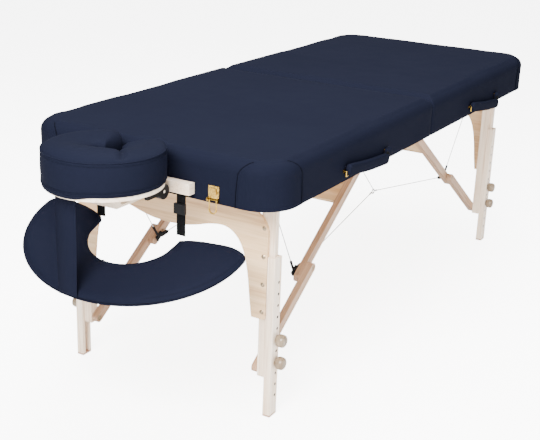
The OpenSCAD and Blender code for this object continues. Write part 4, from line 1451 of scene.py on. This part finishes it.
@dataclass
class ArmShelf:
    """The padded crescent that hangs under the cradle, sloping down to the front, sewn round its edge."""

    centre_x: float = -954.0
    height: float = 482.0
    slope: float = 0.4
    outer: tuple[float, float] = (230.0, 317.0)  # half axes of the outer edge
    inner: tuple[float, float] = (112.0, 128.0)
    reach: float = 97.0  # degrees from the front to the near horn's tip
    far_reach: float = 104.0
    seam_y: float = 24.0
    thick: float = 22.0
    stations: int = 110

    def sizes(self) -> list[tuple[float, float]]:
        """(angle, size) of each station from one horn to the other."""
        shares = [0.15, 0.34, 0.52, 0.68, 0.81, 0.91, 0.97]
        cap = 7.0
        ends = [(-self.reach + cap * (1 - math.sqrt(1 - k * k)), k) for k in shares]
        whole = self.reach + self.far_reach - 2 * cap
        run = [(-self.reach + cap + whole * i / self.stations, 1.0) for i in range(self.stations + 1)]
        return ends + run + [(self.far_reach - self.reach - d, k) for d, k in reversed(ends)]

    def place(self, deg: float, size: float, across: float, up: float) -> Vector:
        """A point of the crescent by angle and place in its section.

        Args:
            deg: the angle round the crescent.
            size: how much of the full section there is.
            across: place across the crescent, from -1 to 1.
            up: place in its thickness.

        Returns:
            The point, in metres.
        """
        a = math.radians(deg)
        out = Vector((-self.outer[0] * math.cos(a), self.outer[1] * math.sin(a)))
        inn = Vector((-self.inner[0] * math.cos(a), self.inner[1] * math.sin(a)))
        q = (out + inn) / 2 + (out - inn) / 2 * (across * size)
        x = self.centre_x + q.x
        sewn = 2.2 * math.exp(-((q.y - self.seam_y) / 3.0) ** 2) if x < self.centre_x else 0.0
        swell = self.thick / 2 * (0.5 + 0.5 * size) - sewn
        z = self.height + self.slope * (x - self.centre_x) + up * swell
        return at(x, q.y, z)

    def build(self) -> bpy.types.Object:
        """Makes the shelf pad, its seams and stitches."""
        section = []
        for i in range(32):
            a = 2 * math.pi * i / 32
            c, s = math.cos(a), math.sin(a)
            section.append((math.copysign(abs(c) ** 0.28, c), math.copysign(abs(s) ** 0.75, s)))
        rings = [[tuple(self.place(deg, k, across, up)) for across, up in section]
            for deg, k in self.sizes()]
        shelf = mesh_piece("arm_shelf_pad", *loft(rings), NAVY)
        face_out(shelf)
        Padding(voxel_mm=5.0, pressure=3.0, cap_mm=3.0).swell(shelf)
        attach(shelf, "arm_rest")
        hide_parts("arm_shelf")
        edge = [self.place(deg, k, 0.985, 0.05) for deg, k in self.sizes()]
        back = [self.place(deg, k, -0.985, 0.05) for deg, k in reversed(self.sizes())]
        bead = mesh_piece("arm_shelf_edge_seam", *tube(resample(edge + back + edge[:1], 0.008), 0.0014, 6),
            NAVY_SEAM_SHADE)
        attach(bead, "arm_rest")
        turn = math.degrees(math.asin(self.seam_y / ((self.outer[1] + self.inner[1]) / 2)))
        shares = [-0.97 + 1.94 * i / 20 for i in range(21)]
        across = [self.place(turn, 1.0, q, 1.0) for q in shares]
        for p, q in zip(across, shares):
            p.z -= 0.0006 if abs(q) < 0.9 else 0.004
        join = mesh_piece("arm_shelf_join_seam", *tube(resample(across, 0.006), 0.0012, 6), NAVY_SEAM_SHADE)
        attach(join, "arm_rest")
        inset = [self.place(deg, k, 0.93, 1.0) for deg, k in self.sizes() if k > 0.6]
        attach(stitch_row("arm_shelf_stitches", [resample(inset, 0.006)], 5.0), "arm_rest")
        return shelf


# Cables


@dataclass
class CableClips:
    """The moulded clips at the elbows: a hub on the inner face of the upper brace."""

    hub_x: float = 553.0
    hub_y: float = 231.0
    hub_z: float = 300.0
    hub_r: float = 8.5
    brace: Point = (0.8237, 0.0, -0.567)  # direction of the head end's brace, from the hinge down

    def hub(self, end: End, side: int) -> Vector:
        """The middle of one hub."""
        return at(end.value * self.hub_x, side * self.hub_y, self.hub_z)

    def build(self) -> None:
        """Makes each end's pair of clips."""
        for end in End:
            parts = []
            for side in (-1, 1):
                hub = self.hub(end, side)
                across = Vector((end.value * self.brace[0], self.brace[1], self.brace[2]))
                body = [hub + across * along for along in (-0.017, -0.015, 0.006, 0.009)]
                parts.append(tube(body, self.hub_r * MM, 12, 0.62, [Vector((0, 1, 0))] * 4))
                stub = Vector((end.value * 0.35, 0, -0.94))
                parts.append(tube([hub, hub + stub * 0.013], 0.004, 8))
            piece = mesh_piece(f"{end.word}_elbow_clips", *merge_parts(parts), NYLON)
            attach(piece, f"{end.word}_upper_brace")
            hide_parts(f"{end.word}_cable_clips")


@dataclass
class RestraintCables:
    """The steel cables that hold the knees: leg top to clip, clip to middle ring, and the two drops."""

    clips: CableClips
    top_x: float = 770.0  # the upper end of a cable, at the leg's pivot
    top_y: float = 247.0
    top_z: float = 648.5
    ring_x: float = 8.6  # where a cable meets its ring
    ring_y: float = 205.0
    ring_z: float = 383.0
    loop_r: float = 7.0
    drop_x: float = -21.5  # the drops hang from the head half beside the hinge
    drop_z: float = 595.5
    drop_axis: Point = (-0.0872, 0.0, 0.9962)
    drop_flat_z: float = 593.4
    radius: float = 1.3
    crimp_r: float = 2.6
    sleeve: float = 44.0
    sleeve_r: float = 3.6
    boot_r: float = 6.2
    flat_z: float = 594.8
    flat_slope: float = 0.0125
    keep: float = 0.006

    def flatten(self, piece: bpy.types.Object, end: End) -> None:
        """Hangs the cables or their sleeves on their half and gives them a mesh of their own.

        Args:
            piece: the cables or their sleeves.
            end: the half they hang from.
        """
        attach(piece, f"{end.word}_half")
        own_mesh(piece)

    def ends(self, end: End, side: int) -> tuple[Vector, Vector]:
        """The upper end of one cable, and its place on the middle ring."""
        top = at(end.value * self.top_x, side * self.top_y, self.top_z)
        return top, at(end.value * self.ring_x, side * self.ring_y, self.ring_z)

    def drops(self) -> None:
        """Makes the two rings and the drops that hold them up, on the head half beside the hinge."""
        parts = []
        loop_r = self.loop_r * MM
        for side in (-1, 1):
            centre = at(0, side * self.ring_y, self.ring_z)
            loop = [centre + Vector((loop_r * math.cos(a), 0, loop_r * math.sin(a)))
                for a in np.linspace(0, 2 * math.pi, 25)]
            parts.append(tube(loop, 0.0018, 8))
            top = at(self.drop_x, side * self.ring_y * 0.3, self.drop_z)
            parts.append(tube(resample([centre + Vector((0, 0, loop_r)), top], 0.02), self.radius * MM, 8))
        piece = mesh_piece("centre_cable_drops", *merge_parts(parts), STEEL)
        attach(piece, "head_half")
        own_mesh(piece)

    def sleeves(self, end: End) -> None:
        """Makes the black sleeves of one end's cables beside the clips, with a boot on the ring's side.

        Args:
            end: the half they hang from.
        """
        parts = []
        for side in (-1, 1):
            hub = self.clips.hub(end, side)
            for to_ring, goal in enumerate(self.ends(end, side)):
                step = (goal - hub).normalized() * (self.sleeve * MM)
                parts.append(tube([hub + step * k for k in (0.1, 0.5, 1.0)], self.sleeve_r * MM, 10))
                if to_ring:
                    boot = [hub + step * k for k in (0.3, 0.35, 0.85, 0.9)]
                    parts.append(tube(boot, self.boot_r * MM, 12))
        self.flatten(mesh_piece(f"{end.word}_cable_sleeves", *merge_parts(parts), NYLON), end)

    def build(self) -> None:
        """Makes each end's cables on its half with their crimps, then the rings and drops."""
        for end in End:
            self.sleeves(end)
            parts = []
            for side in (-1, 1):
                hub = self.clips.hub(end, side)
                high, ring = self.ends(end, side)
                parts.append(tube(resample([high, hub], 0.02), self.radius * MM, 8))
                parts.append(tube(resample([hub, ring], 0.02), self.radius * MM, 8))
                step = (hub - ring).normalized()
                parts.append(tube([ring + step * 0.004, ring + step * 0.018], self.crimp_r * MM, 10))
            piece = mesh_piece(f"{end.word}_restraint_cables", *merge_parts(parts), STEEL)
            self.flatten(piece, end)
            if end is End.HEAD:
                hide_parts("restraint_cables")
        self.drops()


# Carry handles


@dataclass
class CarryHandle:
    """A padded vinyl handle that hangs askew between two brass rings, as in the photo."""

    end: End
    left: Point
    right: Point
    tall: float = 31.0
    thick: float = 15.0
    sag: float = 2.5
    stations: int = 26
    centre_x: float = 455.0  # the handle's middle, from the centre hinge
    reach: float = 125.0  # from its middle to a ring
    tab_y: float = -389.2
    tab_w: float = 33.0
    tab_t: float = 14.4
    tab_heights: tuple[float, ...] = (605.5, 607.0, 612.0, 619.0, 626.0, 630.5, 632.0)
    tab_shares: tuple[float, ...] = (0.5, 0.8, 0.97, 1.0, 0.97, 0.8, 0.5)

    def section(self) -> list[tuple[float, float]]:
        """The flat padded section as (out, up), each from -1 to 1."""
        out = []
        for i in range(24):
            a = 2 * math.pi * i / 24
            c, s = math.cos(a), math.sin(a)
            out.append((math.copysign(abs(c) ** 0.55, c), math.copysign(abs(s) ** 0.45, s)))
        return out

    def build(self) -> bpy.types.Object:
        """Makes the grip, its end loops and its stitching."""
        a, b = Vector(self.left), Vector(self.right)
        caps = [(0.0, 0.35), (0.008, 0.72), (0.025, 0.93), (0.05, 1.0)]
        middle = [(0.05 + 0.9 * i / self.stations, 1.0) for i in range(1, self.stations)]
        run = caps + middle + [(1 - t, k) for t, k in reversed(caps)]
        rings = []
        for t, k in run:
            p = a.lerp(b, t)
            sag = self.sag * math.sin(math.pi * t)
            thick, tall = self.thick / 2 * (0.75 + 0.25 * k), self.tall / 2 * k
            wave = 0.8 * math.sin(9 * t)
            rings.append([tuple(at(p.x, p.y + out * thick + wave, p.z - sag + up * tall))
                for out, up in self.section()])
        grip = mesh_piece(f"{self.end.word}_carry_handle_grip", *loft(rings), NAVY)
        face_out(grip)
        self.swing(grip)
        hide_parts(f"{self.end.word}_handle")
        lines = [self.stitch_line(up) for up in (-0.36, 0.36)]
        self.swing(stitch_row(f"{self.end.word}_handle_stitches", lines, 5.0))
        self.loops()
        self.tab()
        return grip

    def stitch_line(self, up: float) -> list[Vector]:
        """A line along the grip's outer face, at a share of its height.

        Args:
            up: the share, from -0.5 at its foot to 0.5 at its top.

        Returns:
            Points along the line.
        """
        line = []
        for t in np.linspace(0.07, 0.93, 30):
            p = Vector(self.left).lerp(Vector(self.right), t)
            sag = self.sag * math.sin(math.pi * t)
            line.append(at(p.x, p.y - self.thick / 2 - 0.2, p.z + up * self.tall - sag))
        return line

    def loops(self) -> None:
        """Makes the two webbing loops that hang the grip on its rings."""
        a, b = Vector(self.left), Vector(self.right)
        parts = []
        for corner, side in ((a, 1), (b, -1)):
            ring_x = self.end.value * self.centre_x - side * self.reach
            foot = Vector((corner.x + side * 14, corner.y, corner.z))
            path = [foot + Vector((0, -4, 10)), Vector((ring_x + side * 5, -393.4, 621)),
                Vector((ring_x, -390, 622 if side < 0 else 617)),
                Vector((ring_x + side * 4, -386.8, 619)), foot + Vector((0, 4, 6))]
            track = [at(*p) for p in smooth_path(path, 8)]
            parts.append(tube(track, 0.0062 if side > 0 else 0.0088, 10, 0.25,
                [Vector((0, -1, 0.2))] * len(track)))
        loops = mesh_piece(f"{self.end.word}_handle_loops", *merge_parts(parts), STRAP)
        self.swing(loops)

    def tab(self) -> None:
        """Makes the vinyl tab that wraps the ring where the photo shows no brass."""
        rows = [at(self.end.value * self.centre_x + self.reach, self.tab_y, z) for z in self.tab_heights]
        rings = [[tuple(row + Vector((out * self.tab_w / 2 * MM * k, up * self.tab_t / 2 * MM * k, 0)))
            for out, up in self.section()] for row, k in zip(rows, self.tab_shares)]
        tab = mesh_piece(f"{self.end.word}_handle_tab", *loft(rings), NAVY)
        face_out(tab)
        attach(tab, f"{self.end.word}_half")

    def swing(self, piece: bpy.types.Object) -> None:
        """Bakes the piece's place into its mesh.

        Args:
            piece: the grip, its loops or its stitches.
        """
        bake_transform(piece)


# Straps


@dataclass
class ShelfStraps:
    """The navy front strap and the two black rear straps that carry the arm shelf."""

    front: tuple[Point, ...] = ((-1185.6, 60.0, 642.0), (-1186.2, 62.0, 520.0), (-1186.4, 55.0, 391.0))
    front_y: float = 25.0
    rear: tuple[Point, ...] = ((-941.0, 26.0, 604.4), (-941.0, 26.0, 499.0))
    rear_y: float = 124.0

    def build(self) -> None:
        """Makes the straps as thin bands that stretch between cradle and shelf."""
        front = self.band(self.front, self.front_y, 2.5)
        piece = mesh_piece("front_shelf_strap", *front, NAVY)
        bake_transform(piece)
        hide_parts("shelf_straps")
        rear = [self.band(self.rear, side * self.rear_y, 2.0) for side in (-1, 1)]
        piece = mesh_piece("rear_shelf_straps", *merge_parts(rear), STRAP)
        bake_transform(piece)

    def band(self, run: Sequence[tuple[float, float, float]], y: float, thick: float) -> Shape:
        """A flat band along (x, width, z) stations.

        Args:
            run: stations as (x, width, z) in mm.
            y: middle of the band across the table.
            thick: its thickness.

        Returns:
            Points and faces.
        """
        rings = []
        for x, width, z in self.stations(run):
            h, t = width / 2, thick / 2
            corner = [(-h, 0), (-h + t * 0.4, -t), (h - t * 0.4, -t), (h, 0), (h - t * 0.4, t),
                (-h + t * 0.4, t)]
            rings.append([tuple(at(x + b, y + a, z)) for a, b in corner])
        return loft(rings)

    @staticmethod
    def stations(run: Sequence[tuple[float, float, float]],
        n: int = 24) -> list[tuple[float, float, float]]:
        """Even stations between the given ones.

        Args:
            run: the given (x, width, z) stations, in mm.
            n: steps between two of them.

        Returns:
            All stations, the given ones among them.
        """
        out = []
        for a, b in zip(run, run[1:]):
            for i in range(n):
                t = i / n
                out.append(tuple(a[k] * (1 - t) + b[k] * t for k in range(3)))
        out.append(run[-1])
        return out


# Rigid parts


class CadFinishes:
    """Dresses the carried-over CAD nodes."""

    WOOD_BY_PART = {
        "frame": BOARD_WOOD, "leg_posts": LEG_WOOD, "arch_panel": PANEL_WOOD, "brace_stretcher": PANEL_WOOD,
    }

    def __init__(self, nodes: dict[str, bpy.types.Object], record: dict) -> None:
        """Keeps the nodes and the slot of each."""
        self.nodes = nodes
        self.slots = {part["node"]: part["material_slot"] for part in record["subparts"]}

    def finish(self, name: str) -> Finish:
        """The finish of one node, by its slot and its place.

        Args:
            name: the node's name.

        Returns:
            What it is made of.
        """
        slot = self.slots[name]
        if name.endswith("_bolts"):
            return BOLT
        by_slot = {"vinyl": NAVY, "brass": BRASS, "steel": STEEL, "black_plastic": NYLON, "webbing": STRAP,
            "rubber": TAN_RUBBER, "knob_wood": KNOB_MAPLE, "ply": DECK_PLY}
        if name == "cradle_platform":
            return CRADLE_PLY
        if name == "cradle_base":
            return BOARD_WOOD
        if slot in by_slot:
            return by_slot[slot]
        if name.endswith("_braces"):
            return HEAD_BRACE_SHADED_WOOD if name.startswith("head") else FOOT_BRACE_SHADED_WOOD
        if name.endswith("_extension"):
            return EXTENSION_WOOD
        for part, finish in self.WOOD_BY_PART.items():
            if name.endswith(part):
                return finish
        return LEG_WOOD

    def build(self) -> None:
        """Dresses every node."""
        for name, node in self.nodes.items():
            self.finish(name).dress(node)
        LOG.info("dressed %d CAD nodes", len(self.nodes))


@dataclass
class PlateScrews:
    """The small brass screws that hold the latch plates and the strikes to the end boards."""

    plate_x: float = 929.0
    plate_y: float = 209.0
    plate_z: float = 622.0
    half_w: float = 11.5
    half_h: float = 13.0

    def build(self) -> None:
        """Makes four heads on each plate, as Geometry Nodes instances on points."""
        for end in End:
            facing = Vector((end.value, 0, 0))
            spots = [(at(end.value * self.plate_x, side * self.plate_y + y, self.plate_z + z), facing)
                for side in (-1, 1) for y in (-self.half_w, self.half_w)
                for z in (-self.half_h, self.half_h)]
            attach(screw_heads(f"{end.word}_plate_screws", spots, 2.0, 0.9, BRASS), f"{end.word}_half")


# Studio


@dataclass
class Studio:
    """Camera, lights and paper; the camera was fitted to the photograph's corners, feet and holes."""

    fill: float = 0.62  # what the world gives the object
    backdrop: float = 7.0  # how bright the camera sees the world
    lens: float = 68.58
    place: Point = (-2867.83, -1484.19, 1379.79)
    right: Point = (0.510006, -0.859464, 0.0348651)
    down: Point = (-0.2706104, -0.198791, -0.9419406)
    ahead: Point = (0.8164949, 0.4709605, -0.3339645)

    def camera(self) -> None:
        """Sets the photograph's camera from its place and its three axes."""
        data = bpy.data.cameras.new("photo_camera")
        data.lens = self.lens
        data.sensor_width = 36.0
        data.sensor_fit = "HORIZONTAL"
        data.clip_start, data.clip_end = 0.05, 60.0
        camera = bpy.data.objects.new("photo_camera", data)
        bpy.context.scene.collection.objects.link(camera)
        axes = (Vector(self.right), -Vector(self.down), -Vector(self.ahead))
        turn = Matrix(axes).transposed()
        camera.matrix_world = Matrix.Translation(at(*self.place)) @ turn.to_4x4()
        bpy.context.scene.camera = camera

    def light(self, name: str, place: Point, aim: Point, size: float, watts: float,
        colour: str = "#ffffff") -> None:
        """A soft square light.

        Args:
            name: its name.
            place: where it is, in mm.
            aim: what it points at, in mm.
            size: its width in metres.
            watts: its power.
            colour: its colour.
        """
        data = bpy.data.lights.new(name, "AREA")
        data.shape = "SQUARE"
        data.size = size
        data.energy = watts
        data.color = linear(colour)[:3]
        lamp = bpy.data.objects.new(name, data)
        bpy.context.scene.collection.objects.link(lamp)
        lamp.location = at(*place)
        lamp.rotation_euler = (at(*aim) - at(*place)).to_track_quat("-Z", "Y").to_euler()

    def paper(self) -> None:
        """Lays the floor of seamless paper."""
        n, half = 24, 9.0
        points = [(-half + 2 * half * i / n, -half + 2 * half * j / n, -0.0006) for i in range(n + 1)
            for j in range(n + 1)]
        faces = [(i * (n + 1) + j, (i + 1) * (n + 1) + j, (i + 1) * (n + 1) + j + 1, i * (n + 1) + j + 1)
            for i in range(n) for j in range(n)]
        floor = mesh_piece("studio_floor", points, faces, PAPER)

    def world(self) -> None:
        """Sets a white world, brighter where the camera sees it."""
        world = bpy.data.worlds.new("studio_world")
        world.use_nodes = True
        tree = world.node_tree
        tree.nodes["Background"].inputs["Color"].default_value = linear("#ffffff")
        ray = add_node(tree, "ShaderNodeLightPath")
        seen = add_node(tree, "ShaderNodeMath", {"operation": "MULTIPLY_ADD"},
            {0: (ray, "Is Camera Ray"), 1: self.backdrop - self.fill, 2: self.fill})
        tree.links.new(seen.outputs["Value"], tree.nodes["Background"].inputs["Strength"])
        bpy.context.scene.world = world

    def build(self) -> None:
        """Lays the paper, sets the world, the lights and the camera."""
        self.paper()
        self.world()
        self.light("key_softbox", (-3300, -700, 2700), (-200, 0, 450), 1.8, 470.0)
        self.light("top_softbox", (300, 200, 3200), (0, 0, 600), 3.0, 280.0)
        self.light("side_fill", (-900, -3600, 1300), (0, 0, 450), 2.2, 90.0)
        self.camera()


def main() -> None:
    """Builds the sub-assemblies in order."""
    logging.basicConfig(level=logging.INFO, format="%(name)s: %(message)s")
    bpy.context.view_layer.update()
    Studio().build()
    CadFinishes(FRAME["nodes"], FRAME["record"]).build()
    for end in End:
        cover = PaddedTop(end).build()
        LOG.info("built %s", cover.name)
    LOG.info("built %s", FaceCushion().build().name)
    LOG.info("built %s", ArmShelf().build().name)
    ShelfStraps().build()
    clips = CableClips()
    clips.build()
    RestraintCables(clips).build()
    PlateScrews().build()
    for handle in (CarryHandle(End.HEAD, (-586.0, -393.0, 629.0), (-341.0, -393.0, 605.0)),
        CarryHandle(End.FOOT, (322.0, -393.0, 626.0), (576.0, -393.0, 594.0))):
        LOG.info("built %s", handle.build().name)


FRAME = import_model()

if __name__ == "__main__":
    main()
